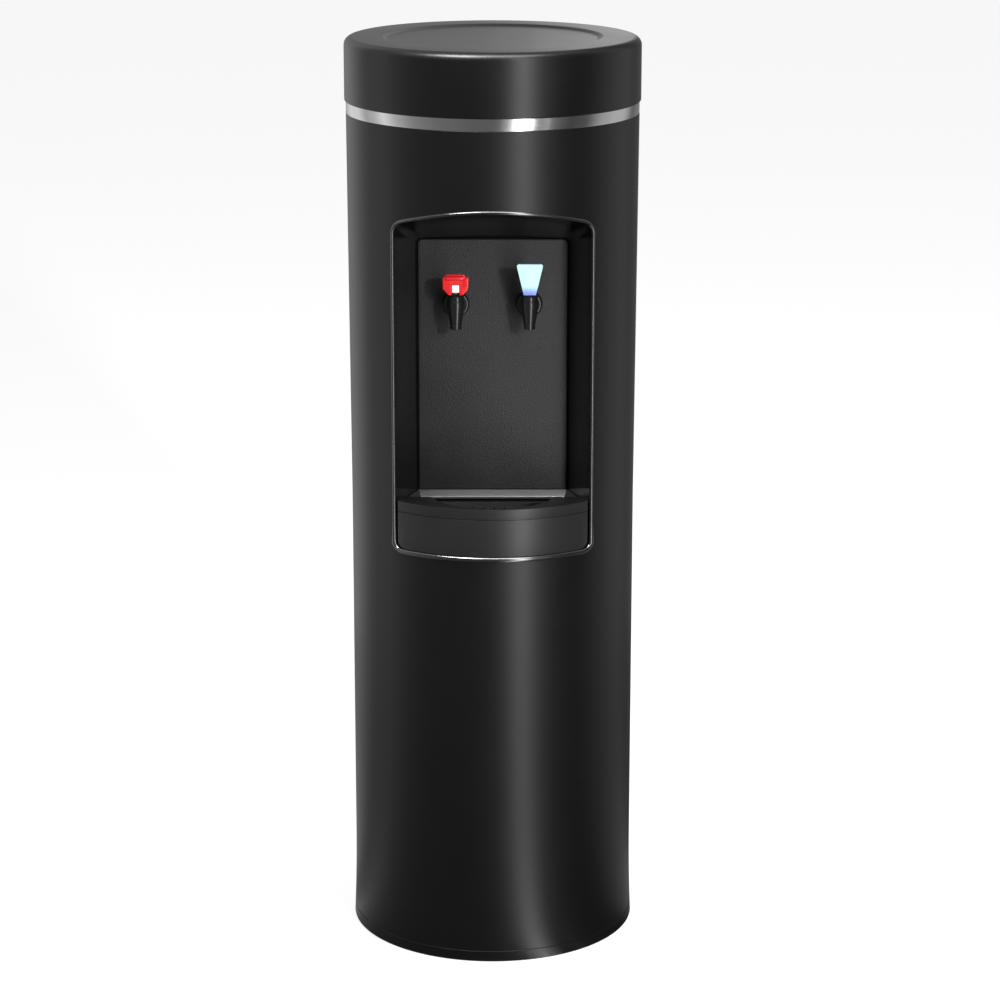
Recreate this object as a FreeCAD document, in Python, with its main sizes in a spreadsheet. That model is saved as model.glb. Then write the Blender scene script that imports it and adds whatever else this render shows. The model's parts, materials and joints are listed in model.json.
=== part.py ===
import FreeCAD
import Part
import Sketcher
import math
import os
import re

# Floor-standing hot and cold water dispenser with a cylindrical cabinet, in millimetres.
# Origin: centre of the footprint on the floor. +Z is up and the front faces -Y.

doc = FreeCAD.newDocument("WaterDispenser")

sizes = {
    # cabinet, collar and lid
    "body_radius": 155.9,
    "body_flare": 2.3,
    "flare_height": 98.0,
    "top_draft": 2.5,
    "draft_height": 422.0,
    "cabinet_wall": 4.0,
    "floor_gap": 2.0,
    "cabinet_height": 920.0,
    "seam_height": 14.0,
    "seam_width": 1.2,
    "seam_depth": 0.7,
    "band_height": 13.0,
    "band_wall": 1.0,
    "collar_depth": 16.0,
    "collar_rib": 17.0,
    "lid_overhang": 1.6,
    "lid_height": 68.0,
    "lid_edge": 9.0,
    "lid_wall": 3.0,
    "lid_recess_radius": 117.0,
    "lid_recess_depth": 2.5,
    "lid_spigot_depth": 10.0,
    "lid_clearance": 0.6,
    "base_plate_thickness": 3.0,
    "foot_radius": 13.0,
    "foot_circle": 120.0,
    "foot_height": 5.0,
    # alcove
    "opening_half": 106.7,
    "opening_drop": 460.0,
    "crown_drop": 84.0,
    "opening_arch": 330.0,
    "opening_corner": 16.0,
    "opening_foot_corner": 10.0,
    "liner_wall": 2.2,
    "liner_fit": 0.2,
    "bead_width": 3.6,
    "bead_height": 1.6,
    "mouth_inset": 3.114,
    "funnel_narrowing": 25.7,
    "funnel_fall": 49.0,
    "back_arch": 3000.0,
    "back_corner": 5.0,
    "panel_face": 40.0,
    "panel_thickness": 3.0,
    "panel_gap": 0.5,
    "ledge_rise": 48.0,
    "ledge_depth": 9.0,
    "ledge_chamfer": 6.0,
    # drip tray and grille
    "tray_proud": 0.6,
    "tray_rise": 56.0,
    "tray_gap": 1.5,
    "tray_wall": 2.6,
    "tray_front_gap": 2.3,
    "tray_side_gap": 1.8,
    "tray_back_gap": 3.0,
    "tray_step_in": 4.0,
    "step_rise": 38.0,
    "tray_corner": 8.0,
    "groove_rise": 44.0,
    "tray_groove": 1.2,
    "well_radius": 68.0,
    "well_lead": 6.0,
    "tray_rim": 6.0,
    "grille_rise": 34.0,
    "grille_thickness": 2.5,
    "grille_gap": 0.6,
    "grille_seat": 5.0,
    "slot_width": 5.0,
    "slot_pitch": 11.0,
    "slot_length": 76.0,
    # faucets and levers
    "faucet_spacing": 79.0,
    "shank_rise": 257.0,
    "nozzle_reach": 38.0,
    "nozzle_below": 21.0,
    "nozzle_above": 10.0,
    "nozzle_radius": 9.6,
    "nozzle_tip_radius": 6.3,
    "nozzle_taper": 24.0,
    "water_bore": 3.0,
    "chamber_radius": 5.5,
    "chamber_below": 5.0,
    "shank_radius": 8.0,
    "shank_tail": 6.8,
    "shank_fit": 0.3,
    "flange_radius": 14.5,
    "flange_thickness": 10.0,
    "nut_radius": 14.0,
    "nut_thickness": 8.0,
    "bonnet_height": 6.0,
    "bonnet_radius": 9.0,
    "stem_radius": 1.75,
    "running_clearance": 0.08,
    "plunger_height": 4.0,
    "plunger_clearance": 0.3,
    "spring_wall": 2.0,
    "spring_gap": 0.35,
    "stem_above": 26.0,
    "pin_reach": 8.0,
    "pin_above": 20.0,
    "pin_radius": 1.25,
    "ear_gap": 2.4,
    "ear_width": 1.5,
    "ear_front": 2.1,
    "ear_back": 4.0,
    "ear_top": 2.6,
    "cheek_gap": 0.4,
    "cheek_width": 2.5,
    "paddle_reach": 7.0,
    "paddle_thickness": 3.4,
    "paddle_above": 18.8,
    "cold_paddle_height": 33.2,
    "cold_paddle_width": 28.0,
    "cold_paddle_foot": 13.0,
    "hot_paddle_height": 22.2,
    "hot_paddle_width": 27.5,
    "web_above": 30.5,
    "web_thickness": 3.0,
    "web_reach": 6.0,
    "lock_width": 8.0,
    "lock_above": 22.0,
    "lock_height": 8.0,
    "lock_travel": 3.0,
    # cold side
    "shelf_thickness": 3.0,
    "upper_shelf_drop": 232.0,
    "lower_shelf_drop": 404.0,
    "upper_shelf_front": 0.0,
    "lower_shelf_front": -28.0,
    "shelf_back": 90.0,
    "tank_gap": 7.468,
    "reservoir_radius": 48.0,
    "reservoir_wall": 1.2,
    "reservoir_drop": 22.0,
    "jacket_floor": 12.0,
    "coil_tube": 3.0,
    "coil_clearance": 0.3,
    "coil_pitch": 16.0,
    "coil_turns": 7.0,
    "jacket_wall": 9.4,
    "jacket_top_gap": 14.0,
    "cover_thickness": 4.0,
    "valve_x": 12.0,
    "valve_radius": 6.0,
    # hot side
    "tank_offset": 12.0,
    "hot_radius": 45.0,
    "hot_wall": 1.5,
    "hot_height": 115.0,
    "hot_jacket_side": 13.0,
    "hot_jacket_wall": 8.0,
    # compressor and condenser
    "compressor_radius": 58.0,
    "compressor_bottom": 22.0,
    "compressor_height": 150.0,
    "compressor_centre": 20.0,
    "condenser_gap": 10.03,
    "condenser_half": 50.0,
    "condenser_pitch": 40.0,
    "condenser_bottom": 140.0,
    "condenser_tube": 2.4,
    "wire_radius": 0.8,
    # rear panel and plates
    "rear_half": 92.0,
    "rear_bottom": 100.0,
    "rear_drop": 50.0,
    "rear_gap": 0.4,
    "rear_lip": 8.0,
    "rear_lip_wall": 2.0,
    "vent_rows": 18.0,
    "vent_pitch": 28.0,
    "vent_height": 6.0,
    "vent_start": 40.0,
    "vent_inner": 5.0,
    "vent_outer": 60.0,
    "plate_half": 58.0,
    "plate_thickness": 3.0,
    "plate_lap": 2.0,
    "service_bottom": 20.0,
    "service_height": 56.0,
    "control_drop": 192.0,
    "control_height": 56.0,
    "fitting_spread": 38.0,
    "fitting_radius": 8.0,
    "tube_radius": 3.175,
    "tube_bore": 2.1,
    "fitting_depth": 15.0,
    # routes of the tubes and lines
    "lane_gap": 11.0,
    "cold_drop": 18.0,
    "hot_drop": 10.0,
    "riser_gap": 39.9,
    "riser_back": 20.0,
    "outlet_side": 18.0,
    "outlet_lead": 16.0,
    "feed_side": 20.0,
    "feed_lag": 10.0,
    "hot_outlet_side": 20.0,
    "hot_outlet_lead": 15.0,
    "line_gap": 12.0,
    "suction_side": 30.0,
    "capillary_side": 20.0,
    "run_side": 84.0,
    "run_in": 18.2,
    "line_radius": 2.4,
    "line_bore": 1.6,
    "suction_radius": 3.0,
    "suction_bore": 2.2,
    "capillary_radius": 1.2,
    "drier_radius": 9.0,
    "drier_bottom": 60.0,
    "drier_length": 90.0,
    "drier_side": 97.0,
    "drier_in": 15.4,
    # compressor mounts and relay
    "mount_side": 72.0,
    "mount_deep": 30.0,
    "mount_radius": 10.0,
    "mount_bore": 3.2,
    "mount_neck": 5.0,
    "plate_margin": 12.0,
    "relay_reach": 22.0,
    "relay_half": 24.0,
    "relay_height": 52.0,
    # controls and power inlet
    "socket_half": 13.8,
    "socket_height": 19.6,
    "socket_fit": 0.2,
    "socket_depth": 18.0,
    "knob_out": 28.0,
    "knob_radius": 11.0,
    "knob_shaft": 3.0,
    "rocker_out": 27.0,
    "rocker_half": 9.0,
    "rocker_height": 22.0,
    "rocker_wall": 2.0,
    "cap_radius": 8.5,
    "spout_radius": 5.0,
    "cap_fit": 0.05,
    # hot tank fittings
    "disc_radius": 9.0,
    "disc_side": 30.0,
    "cutout_back": 32.0,
    "element_half": 14.0,
    "element_height": 60.0,
    "element_radius": 4.0,
}

# Places worked out from the sizes above.
places = {
    "inner_radius": "(body_radius - cabinet_wall)",
    "cabinet_top": "(floor_gap + cabinet_height)",
    "top_radius": "(body_radius + top_draft)",
    "lid_bottom": "(cabinet_top + band_height)",
    "lid_top": "(lid_bottom + lid_height)",
    "collar_bore": "(inner_radius - collar_rib)",
    "liner_inset": "(liner_fit + liner_wall)",
    "liner_floor": "(opening_bottom + liner_inset)",
    "wall_face": "(panel_face - panel_thickness)",
    "wall_back": "(wall_face - liner_wall)",
    "tray_bottom": "(liner_floor + tray_gap)",
    "faucet_x": "(faucet_spacing / 2)",
    "bonnet_top": "(nozzle_top + bonnet_height)",
    "cheek_inner": "(ear_gap + ear_width + cheek_gap)",
    "cheek_outer": "(cheek_inner + cheek_width)",
    "upper_deck": "(upper_shelf_bottom + shelf_thickness)",
    "lower_deck": "(lower_shelf_bottom + shelf_thickness)",
    "reservoir_bottom": "(upper_deck + jacket_floor)",
    "coil_radius": "(reservoir_radius + coil_clearance + coil_tube)",
    "jacket_bore": "(coil_radius + coil_tube + coil_clearance)",
    "hot_bottom": "(lower_deck + hot_jacket_wall)",
    "hot_top": "(hot_bottom + hot_height)",
    "hot_jacket_top": "(hot_top + hot_jacket_wall)",
    "plate_face": "sqrt(inner_radius ^ 2 - plate_half ^ 2)",
    "plate_back": "(plate_face - plate_thickness)",
    "base_top": "(foot_height + base_plate_thickness)",
    "service_middle": "(service_bottom + service_height / 2)",
    "control_middle": "(control_bottom + control_height / 2)",
    "lid_radius": "(top_radius + lid_overhang)",
    "draft_start": "(cabinet_top - draft_height)",
    "opening_bottom": "(cabinet_top - opening_drop)",
    "opening_top": "(cabinet_top - crown_drop)",
    "mouth_plane": "(sqrt(inner_radius ^ 2 - opening_half ^ 2) - mouth_inset)",
    "back_half": "(opening_half - funnel_narrowing)",
    "back_top": "(opening_top - funnel_fall)",
    "ledge_top": "(opening_bottom + ledge_rise)",
    "tray_front": "(body_radius + tray_proud)",
    "tray_top": "(opening_bottom + tray_rise)",
    "tray_half": "(opening_half - liner_inset - tray_front_gap)",
    "tray_back": "(panel_face + ledge_depth + tray_back_gap)",
    "tray_step": "(mouth_plane - tray_step_in)",
    "tray_step_top": "(opening_bottom + step_rise)",
    "tray_groove_height": "(opening_bottom + groove_rise)",
    "well_centre": "(nozzle_out + well_lead)",
    "well_back": "(tray_back + tray_rim)",
    "grille_top": "(opening_bottom + grille_rise)",
    "shank_height": "(opening_bottom + shank_rise)",
    "nozzle_out": "(panel_face + nozzle_reach)",
    "nozzle_tip": "(shank_height - nozzle_below)",
    "nozzle_top": "(shank_height + nozzle_above)",
    "chamber_floor": "(shank_height - chamber_below)",
    "shank_back": "(wall_back - nut_thickness - shank_tail)",
    "stem_top": "(shank_height + stem_above)",
    "pin_out": "(nozzle_out + pin_reach)",
    "pin_height": "(shank_height + pin_above)",
    "paddle_face": "(pin_out + paddle_reach)",
    "paddle_bottom": "(shank_height + paddle_above)",
    "cold_paddle_top": "(paddle_bottom + cold_paddle_height)",
    "hot_paddle_top": "(paddle_bottom + hot_paddle_height)",
    "web_height": "(shank_height + web_above)",
    "web_back": "(nozzle_out - web_reach)",
    "lock_bottom": "(shank_height + lock_above)",
    "upper_shelf_bottom": "(cabinet_top - upper_shelf_drop)",
    "lower_shelf_bottom": "(cabinet_top - lower_shelf_drop)",
    "jacket_front": "sqrt(jacket_radius ^ 2 - faucet_x ^ 2)",
    "tank_centre": "(tube_radius + tank_gap + jacket_front - tube_lane)",
    "reservoir_top": "(cabinet_top - reservoir_drop)",
    "jacket_radius": "(jacket_bore + jacket_wall)",
    "float_x": "(-reservoir_radius / 2)",
    "hot_centre": "(tank_centre - tank_offset)",
    "hot_jacket_radius": "(hot_radius + hot_jacket_side)",
    "condenser_out": "sqrt((inner_radius - condenser_gap) ^ 2 - condenser_span ^ 2)",
    "rear_top": "(control_bottom - rear_drop)",
    "control_bottom": "(cabinet_top - control_drop)",
    "tube_lane": "(shank_back - lane_gap)",
    "condenser_span": "(condenser_half + condenser_pitch / 2 + condenser_tube)",
    "flare_radius": "((flare_height ^ 2 + body_flare ^ 2) / (2 * body_flare))",
    "seam_skin": "(body_radius + (flare_height + floor_gap - seam_height) ^ 2 / (2 * flare_radius))",
    "riser_x": "(inner_radius - riser_gap)",
    "line_back": "(tank_centre + sqrt(jacket_radius ^ 2 - suction_side ^ 2) + line_gap)",
    "run_back": "(sqrt((inner_radius - run_in) ^ 2 - run_side ^ 2))",
    "drier_back": "(sqrt((inner_radius - drier_in) ^ 2 - drier_side ^ 2))",
    "compressor_top": "(compressor_bottom + compressor_height)",
    "lines_low": "(compressor_top + 13)",
}

sheet = doc.addObject("Spreadsheet::Sheet", "Sizes")
for row, (alias, number) in enumerate(sizes.items(), start=1):
    sheet.set(f"A{row}", alias.replace("_", " "))
    sheet.set(f"B{row}", str(number))
    sheet.setAlias(f"B{row}", alias)
doc.recompute()

word = re.compile(r"[a-z][a-z_]*")


def full(expression):
    # Spells a size or place out as cells of the sheet.
    def swap(match):
        name = match.group(0)
        if name in sizes:
            return "Sizes." + name
        if name in places:
            return full(places[name])
        return name
    return word.sub(swap, str(expression))


def value(expression):
    return float(sheet.evalExpression(full(expression)))


def bind(item, prop, expression):
    item.setExpression(prop, full(expression))


def place(item, at, turn=None):
    rotation = FreeCAD.Rotation()
    if turn == "front":
        rotation = FreeCAD.Rotation(FreeCAD.Vector(1, 0, 0), 90)
    if turn == "back":
        rotation = FreeCAD.Rotation(FreeCAD.Vector(1, 0, 0), -90)
    if turn == "side":
        rotation = FreeCAD.Rotation(FreeCAD.Vector(0, 1, 0), 90)
    base = FreeCAD.Vector(*[value(one) for one in at])
    item.Placement = FreeCAD.Placement(base, rotation)
    for axis, one in zip("xyz", at):
        bind(item, "Placement.Base." + axis, one)


def draw_path(sketch, points):
    # Closed outline. A point is (x, y), or (x, y, radius, side) when an arc arrives there,
    # with its centre on that side of the way of travel.
    corners = [(value(point[0]), value(point[1])) for point in points]
    pieces = []
    for number, point in enumerate(points):
        start = corners[number - 1]
        end = corners[number]
        if len(point) == 2:
            line = Part.LineSegment(FreeCAD.Vector(*start, 0), FreeCAD.Vector(*end, 0))
            pieces.append((sketch.addGeometry(line), 1, 2))
            continue
        radius = value(point[2])
        side = 1 if point[3] == "left" else -1
        chord = math.dist(start, end)
        rise = math.sqrt(max(radius ** 2 - (chord / 2) ** 2, 0.0)) * side
        away = ((start[1] - end[1]) / chord, (end[0] - start[0]) / chord)
        centre = ((start[0] + end[0]) / 2 + away[0] * rise, (start[1] + end[1]) / 2 + away[1] * rise)
        first = math.atan2(start[1] - centre[1], start[0] - centre[0])
        last = math.atan2(end[1] - centre[1], end[0] - centre[0])
        circle = Part.Circle(FreeCAD.Vector(*centre, 0), FreeCAD.Vector(0, 0, 1), radius)
        if side == 1:
            arc = sketch.addGeometry(Part.ArcOfCircle(circle, first, last))
            pieces.append((arc, 1, 2))
        else:
            arc = sketch.addGeometry(Part.ArcOfCircle(circle, last, first))
            pieces.append((arc, 2, 1))
        held = sketch.addConstraint(Sketcher.Constraint("Radius", arc, radius))
        bind(sketch, f"Constraints[{held}]", point[2])
    for number, (piece, start, end) in enumerate(pieces):
        follower, follower_start, _ = pieces[(number + 1) % len(pieces)]
        sketch.addConstraint(Sketcher.Constraint("Coincident", piece, end, follower, follower_start))
        for kind, one, at in zip(("DistanceX", "DistanceY"), points[number], corners[number]):
            held = sketch.addConstraint(Sketcher.Constraint(kind, piece, end, at))
            bind(sketch, f"Constraints[{held}]", one)


def draw_circle(sketch, x, y, radius):
    circle = Part.Circle(FreeCAD.Vector(value(x), value(y), 0), FreeCAD.Vector(0, 0, 1), value(radius))
    ring = sketch.addGeometry(circle)
    held = sketch.addConstraint(Sketcher.Constraint("Radius", ring, value(radius)))
    bind(sketch, f"Constraints[{held}]", radius)
    for kind, one in (("DistanceX", x), ("DistanceY", y)):
        held = sketch.addConstraint(Sketcher.Constraint(kind, ring, 3, value(one)))
        bind(sketch, f"Constraints[{held}]", one)


def new_body(name):
    body = doc.addObject("PartDesign::Body", name)
    body.Label = name
    return body


def new_sketch(body, name, role, offset="0"):
    sketch = body.newObject("Sketcher::SketchObject", name)
    plane = next(item for item in body.Origin.OriginFeatures if item.Role == role)
    sketch.AttachmentSupport = [(plane, "")]
    sketch.MapMode = "FlatFace"
    if offset != "0":
        sketch.setExpression("AttachmentOffset.Base.z", full(offset))
    return sketch


def turned(name, points, at=("0", "0", "0"), turn=None):
    # A profile of (radius, height) points turned about its own upright axis.
    body = new_body(name)
    sketch = new_sketch(body, name + "_profile", "XZ_Plane")
    draw_path(sketch, points)
    feature = body.newObject("PartDesign::Revolution", name + "_turn")
    feature.Profile = sketch
    feature.ReferenceAxis = (sketch, ["V_Axis"])
    feature.Angle = 360
    place(body, at, turn)
    return body


def padded(name, outline, height, at=("0", "0", "0"), turn=None, holes=()):
    # An outline, with round holes in it, raised by a height.
    body = new_body(name)
    sketch = new_sketch(body, name + "_outline", "XY_Plane")
    draw_path(sketch, outline)
    for hole in holes:
        draw_circle(sketch, *hole)
    feature = body.newObject("PartDesign::Pad", name + "_pad")
    feature.Profile = sketch
    bind(feature, "Length", height)
    place(body, at, turn)
    return body


def is_low(edge):
    return edge.BoundBox.ZMax < 0.01


def is_one_sided(edge):
    return edge.BoundBox.XMin > 0.01 or edge.BoundBox.XMax < -0.01


def round_edges(body, radius, test):
    # Rounds those edges of a body's last feature that pass a test, in the body's own frame.
    doc.recompute()
    last = body.Tip
    chosen = [f"Edge{number}" for number, edge in enumerate(last.Shape.Edges, start=1) if test(edge)]
    feature = body.newObject("PartDesign::Fillet", body.Name + "_rounds")
    feature.Base = (last, chosen)
    bind(feature, "Radius", radius)


def arched(half, bottom, top, arch, corner, foot, inset):
    # Outline with a shallow arch on top, drawn a given inset inside its nominal edge.
    half = f"({half} - {inset})"
    bottom = f"({bottom} + {inset})"
    top = f"({top} - {inset})"
    arch = f"({arch} - {inset})"
    corner = f"({corner} - {inset})"
    foot = f"({foot} - {inset})"
    rise = f"sqrt(({arch} - {corner}) ^ 2 - ({half} - {corner}) ^ 2)"
    share = f"({arch} / ({arch} - {corner}))"
    shoulder = f"({top} - {arch} + {rise})"
    touch_x = f"(({half} - {corner}) * {share})"
    touch_z = f"({top} - {arch} + {rise} * {share})"
    return [
        (f"{half} - {foot}", bottom),
        (half, f"{bottom} + {foot}", foot, "left"),
        (half, shoulder),
        (touch_x, touch_z, corner, "left"),
        (f"-{touch_x}", touch_z, arch, "left"),
        (f"-{half}", shoulder, corner, "left"),
        (f"-{half}", f"{bottom} + {foot}"),
        (f"{foot} - {half}", bottom, foot, "left"),
    ]


def standing_sketch(name, outline, y):
    # An outline in an upright plane at a given y, seen from the front.
    sketch = doc.addObject("Sketcher::SketchObject", name)
    draw_path(sketch, outline)
    place(sketch, ("0", y, "0"), "front")
    return sketch


def loft(name, sections):
    item = doc.addObject("Part::Loft", name)
    item.Sections = sections
    item.Solid = True
    item.Ruled = True
    return item


def prism(name, outline, y_from, y_to):
    # Solid between two upright planes.
    sketch = standing_sketch(name + "_outline", outline, y_to)
    item = doc.addObject("Part::Extrusion", name)
    item.Base = sketch
    item.DirMode = "Custom"
    item.Dir = FreeCAD.Vector(0, -1, 0)
    item.Solid = True
    bind(item, "LengthFwd", f"({y_to}) - ({y_from})")
    return item


def block(name, x_from, x_to, y_from, y_to, z_from, z_to):
    item = doc.addObject("Part::Box", name)
    bind(item, "Length", f"({x_to}) - ({x_from})")
    bind(item, "Width", f"({y_to}) - ({y_from})")
    bind(item, "Height", f"({z_to}) - ({z_from})")
    place(item, (x_from, y_from, z_from))
    return item


def rod(name, radius, at, length, turn=None):
    item = doc.addObject("Part::Cylinder", name)
    bind(item, "Radius", radius)
    bind(item, "Height", length)
    place(item, at, turn)
    return item


def cut(name, base, *tools):
    tool = tools[0]
    if len(tools) > 1:
        tool = doc.addObject("Part::MultiFuse", name + "_cutter")
        tool.Shapes = list(tools)
    item = doc.addObject("Part::Cut", name)
    item.Base = base
    item.Tool = tool
    return item


def fuse(name, *shapes):
    item = doc.addObject("Part::MultiFuse", name)
    item.Shapes = list(shapes)
    return item


def common(name, *shapes):
    item = doc.addObject("Part::MultiCommon", name)
    item.Shapes = list(shapes)
    return item


def group(name, shapes):
    # Separate solids kept in one node.
    item = doc.addObject("Part::Compound", name)
    item.Links = list(shapes)
    return item


nodes = []


def keep(item, label):
    item.Label = label
    nodes.append(item)
    return item


def route(points):
    # Straight runs joined by tangent arcs through a list of corner points.
    spots = [FreeCAD.Vector(*[value(one) for one in point]) for point in points]
    edges = []
    here = spots[0]
    for before, corner, after in zip(spots, spots[1:], spots[2:]):
        into = (corner - before).normalize()
        out = (after - corner).normalize()
        half_turn = into.getAngle(out) / 2
        reach = 0.45 * min((corner - before).Length, (after - corner).Length)
        radius = reach / math.tan(half_turn)
        start = corner - into * reach
        end = corner + out * reach
        bisector = (out - into).normalize()
        middle = corner + bisector * (math.hypot(radius, reach) - radius)
        edges.append(Part.LineSegment(here, start).toShape())
        edges.append(Part.Arc(start, middle, end).toShape())
        here = end
    edges.append(Part.LineSegment(here, spots[-1]).toShape())
    return Part.Wire(edges)


def swept(wire, radius):
    start = wire.Edges[0]
    circle = Part.Circle(start.valueAt(start.FirstParameter), start.tangentAt(start.FirstParameter), radius)
    return wire.makePipeShell([Part.Wire(circle.toShape())], True, False)


def pipe(name, wire, radius, bore=None):
    item = doc.addObject("Part::Feature", name)
    shape = swept(wire, radius)
    if bore is not None:
        shape = shape.cut(swept(wire, bore))
    item.Shape = shape
    return item


# ---- cabinet, base and feet ----

def skin_points(grow, inner):
    # Section of the cabinet between an inner radius and its own outer face grown by an amount.
    return [
        (inner, "floor_gap"),
        (f"body_radius + body_flare + {grow}", "floor_gap"),
        (f"body_radius + {grow}", "floor_gap + flare_height", "flare_radius", "right"),
        (f"body_radius + {grow}", "draft_start"),
        (f"top_radius + {grow}", "cabinet_top"),
        (inner, "cabinet_top"),
    ]


def opening_outline(inset):
    return arched("opening_half", "opening_bottom", "opening_top", "opening_arch",
                  "opening_corner", "opening_foot_corner", inset)


def make_cabinet():
    blank = turned("cabinet_blank", skin_points("0", "inner_radius"))
    mouth = prism("mouth_cut", opening_outline("0"), "-(lid_radius + 10)", "-(mouth_plane - 30)")
    rear = block("rear_cut", "-rear_half", "rear_half", "0", "lid_radius", "rear_bottom", "rear_top")
    service = block("service_cut", "plate_lap - plate_half", "plate_half - plate_lap", "0", "lid_radius",
                    "service_bottom + plate_lap", "service_bottom + service_height - plate_lap")
    control = block("control_cut", "plate_lap - plate_half", "plate_half - plate_lap", "0", "lid_radius",
                    "control_bottom + plate_lap", "control_bottom + control_height - plate_lap")
    seam = turned("seam_cut", [
        ("seam_skin - seam_depth", "seam_height"),
        ("seam_skin + body_flare", "seam_height"),
        ("seam_skin + body_flare", "seam_height + seam_width"),
        ("seam_skin - seam_depth", "seam_height + seam_width"),
    ])
    keep(cut("cabinet_shell", blank, mouth, rear, service, control, seam), "cabinet_shell")


def make_base():
    plate = [
        ("0", "foot_height"),
        ("inner_radius", "foot_height"),
        ("inner_radius", "base_top"),
        ("0", "base_top"),
    ]
    keep(turned("base_plate", plate), "base_plate")
    feet = []
    for number in range(4):
        angle = 45 + 90 * number
        x = f"foot_circle * cos({angle} deg)"
        y = f"foot_circle * sin({angle} deg)"
        feet.append(turned(f"foot_{number}", [
            ("0", "0"),
            ("foot_radius - 1.5", "0"),
            ("foot_radius", "1.5"),
            ("foot_radius", "foot_height"),
            ("0", "foot_height"),
        ], (x, y, "0")))
    keep(group("rubber_feet", feet), "rubber_feet")


def make_top():
    keep(turned("top_collar", [
        ("collar_bore", "cabinet_top - collar_depth"),
        ("inner_radius", "cabinet_top - collar_depth"),
        ("inner_radius", "cabinet_top"),
        ("top_radius - band_wall", "cabinet_top"),
        ("top_radius - band_wall", "lid_bottom"),
        ("collar_bore", "lid_bottom"),
    ]), "top_collar")
    keep(turned("trim_band", [
        ("top_radius - band_wall", "cabinet_top"),
        ("top_radius", "cabinet_top"),
        ("top_radius", "lid_bottom"),
        ("top_radius - band_wall", "lid_bottom"),
    ]), "trim_band")
    spigot = "collar_bore - lid_clearance"
    keep(turned("lid", [
        ("0", "lid_top - lid_recess_depth - lid_wall"),
        (f"{spigot} - lid_wall", "lid_top - lid_recess_depth - lid_wall"),
        (f"{spigot} - lid_wall", "lid_bottom - lid_spigot_depth"),
        (spigot, "lid_bottom - lid_spigot_depth"),
        (spigot, "lid_top - lid_recess_depth - lid_wall - lid_edge"),
        ("lid_radius - lid_wall", "lid_top - lid_recess_depth - lid_wall - lid_edge"),
        ("lid_radius - lid_wall", "lid_bottom"),
        ("lid_radius", "lid_bottom"),
        ("lid_radius", "lid_top - lid_edge"),
        ("lid_radius - lid_edge", "lid_top", "lid_edge", "left"),
        ("lid_recess_radius", "lid_top"),
        ("lid_recess_radius - lid_recess_depth", "lid_top - lid_recess_depth"),
        ("0", "lid_top - lid_recess_depth"),
    ]), "lid")


# ---- alcove ----

def back_outline(inset):
    return arched("back_half", "liner_floor", "back_top", "back_arch", "back_corner", "back_corner", inset)


def shank_holes(name, y):
    # One clearance hole for each faucet shank, from a given y backwards.
    holes = []
    for sign in ("", "-"):
        holes.append(rod(name + sign, "shank_radius + shank_fit", (f"{sign}faucet_x", y, "shank_height"),
                         "panel_thickness + liner_wall + 2", "back"))
    return holes


def make_liner():
    reach = "-(lid_radius + 10)"
    mouth = "-mouth_plane"
    outer_mouth = prism("liner_outer_mouth", opening_outline("liner_fit"), reach, mouth)
    outer_funnel = loft("liner_outer_funnel", [
        standing_sketch("liner_outer_front", opening_outline("liner_fit"), mouth),
        standing_sketch("liner_outer_back", back_outline("-liner_wall"), "-wall_back"),
    ])
    inner_mouth = prism("liner_inner_mouth", opening_outline("liner_inset"), f"{reach} - 1", mouth)
    inner_funnel = loft("liner_inner_funnel", [
        standing_sketch("liner_inner_front", opening_outline("liner_inset"), mouth),
        standing_sketch("liner_inner_back", back_outline("0"), "-wall_face"),
    ])
    limit = turned("liner_limit", skin_points("0", "0"))
    tub = common("liner_tub", fuse("liner_outer", outer_mouth, outer_funnel), limit)
    shell = cut("liner_shell", tub, inner_mouth, inner_funnel)
    band_out = prism("bead_out", opening_outline("-bead_width / 2"), reach, "0")
    band_in = prism("bead_in", opening_outline("liner_inset"), f"{reach} - 1", "1")
    band = cut("bead_band", band_out, band_in)
    raised = turned("bead_skin", skin_points("bead_height", "0"))
    bead = cut("bead", common("bead_blank", band, raised), limit)
    ledge = padded("ledge", [
        ("wall_face", "-ledge_chamfer - 7"),
        ("panel_face + ledge_depth", "-ledge_chamfer - 7"),
        ("panel_face + ledge_depth", "-ledge_chamfer"),
        ("panel_face", "0"),
        ("wall_face", "0"),
    ], "2 * (back_half - 1)")
    upright = FreeCAD.Rotation(FreeCAD.Vector(1, 0, 0), 90)
    across = FreeCAD.Rotation(FreeCAD.Vector(0, 0, 1), -90).multiply(upright)
    ledge.Placement = FreeCAD.Placement(FreeCAD.Vector(0, 0, 0), across)
    bind(ledge, "Placement.Base.x", "back_half - 1")
    bind(ledge, "Placement.Base.z", "ledge_top")
    whole = fuse("liner_whole", shell, bead, ledge)
    keep(cut("alcove_liner", whole, *shank_holes("liner_hole", "-wall_face - 1")), "alcove_liner")


def make_panel():
    outline = arched("back_half", "ledge_top - 20", "back_top", "back_arch", "back_corner", "back_corner",
                     "panel_gap")
    plate = prism("splash_blank", outline, "-panel_face", "-wall_face")
    low = block("splash_low_cut", "-lid_radius", "lid_radius", "-panel_face - 1", "0", "0", "ledge_top")
    keep(cut("splash_panel", plate, low, *shank_holes("splash_hole", "-panel_face - 1")), "splash_panel")


# ---- drip tray ----

def tray_plan(inset):
    taper = "((opening_half - liner_inset - back_half) / (mouth_plane - wall_face))"
    back_half = f"(back_half + {taper} * (tray_back - wall_face) - tray_side_gap - {inset})"
    front_half = f"(tray_half - {inset})"
    turn_y = f"(-mouth_plane + tray_side_gap)"
    return [
        (front_half, "-(tray_front + 5)"),
        (front_half, turn_y),
        (back_half, f"-(tray_back + {inset})"),
        (f"-{back_half}", f"-(tray_back + {inset})"),
        (f"-{front_half}", turn_y),
        (f"-{front_half}", "-(tray_front + 5)"),
    ]


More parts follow.
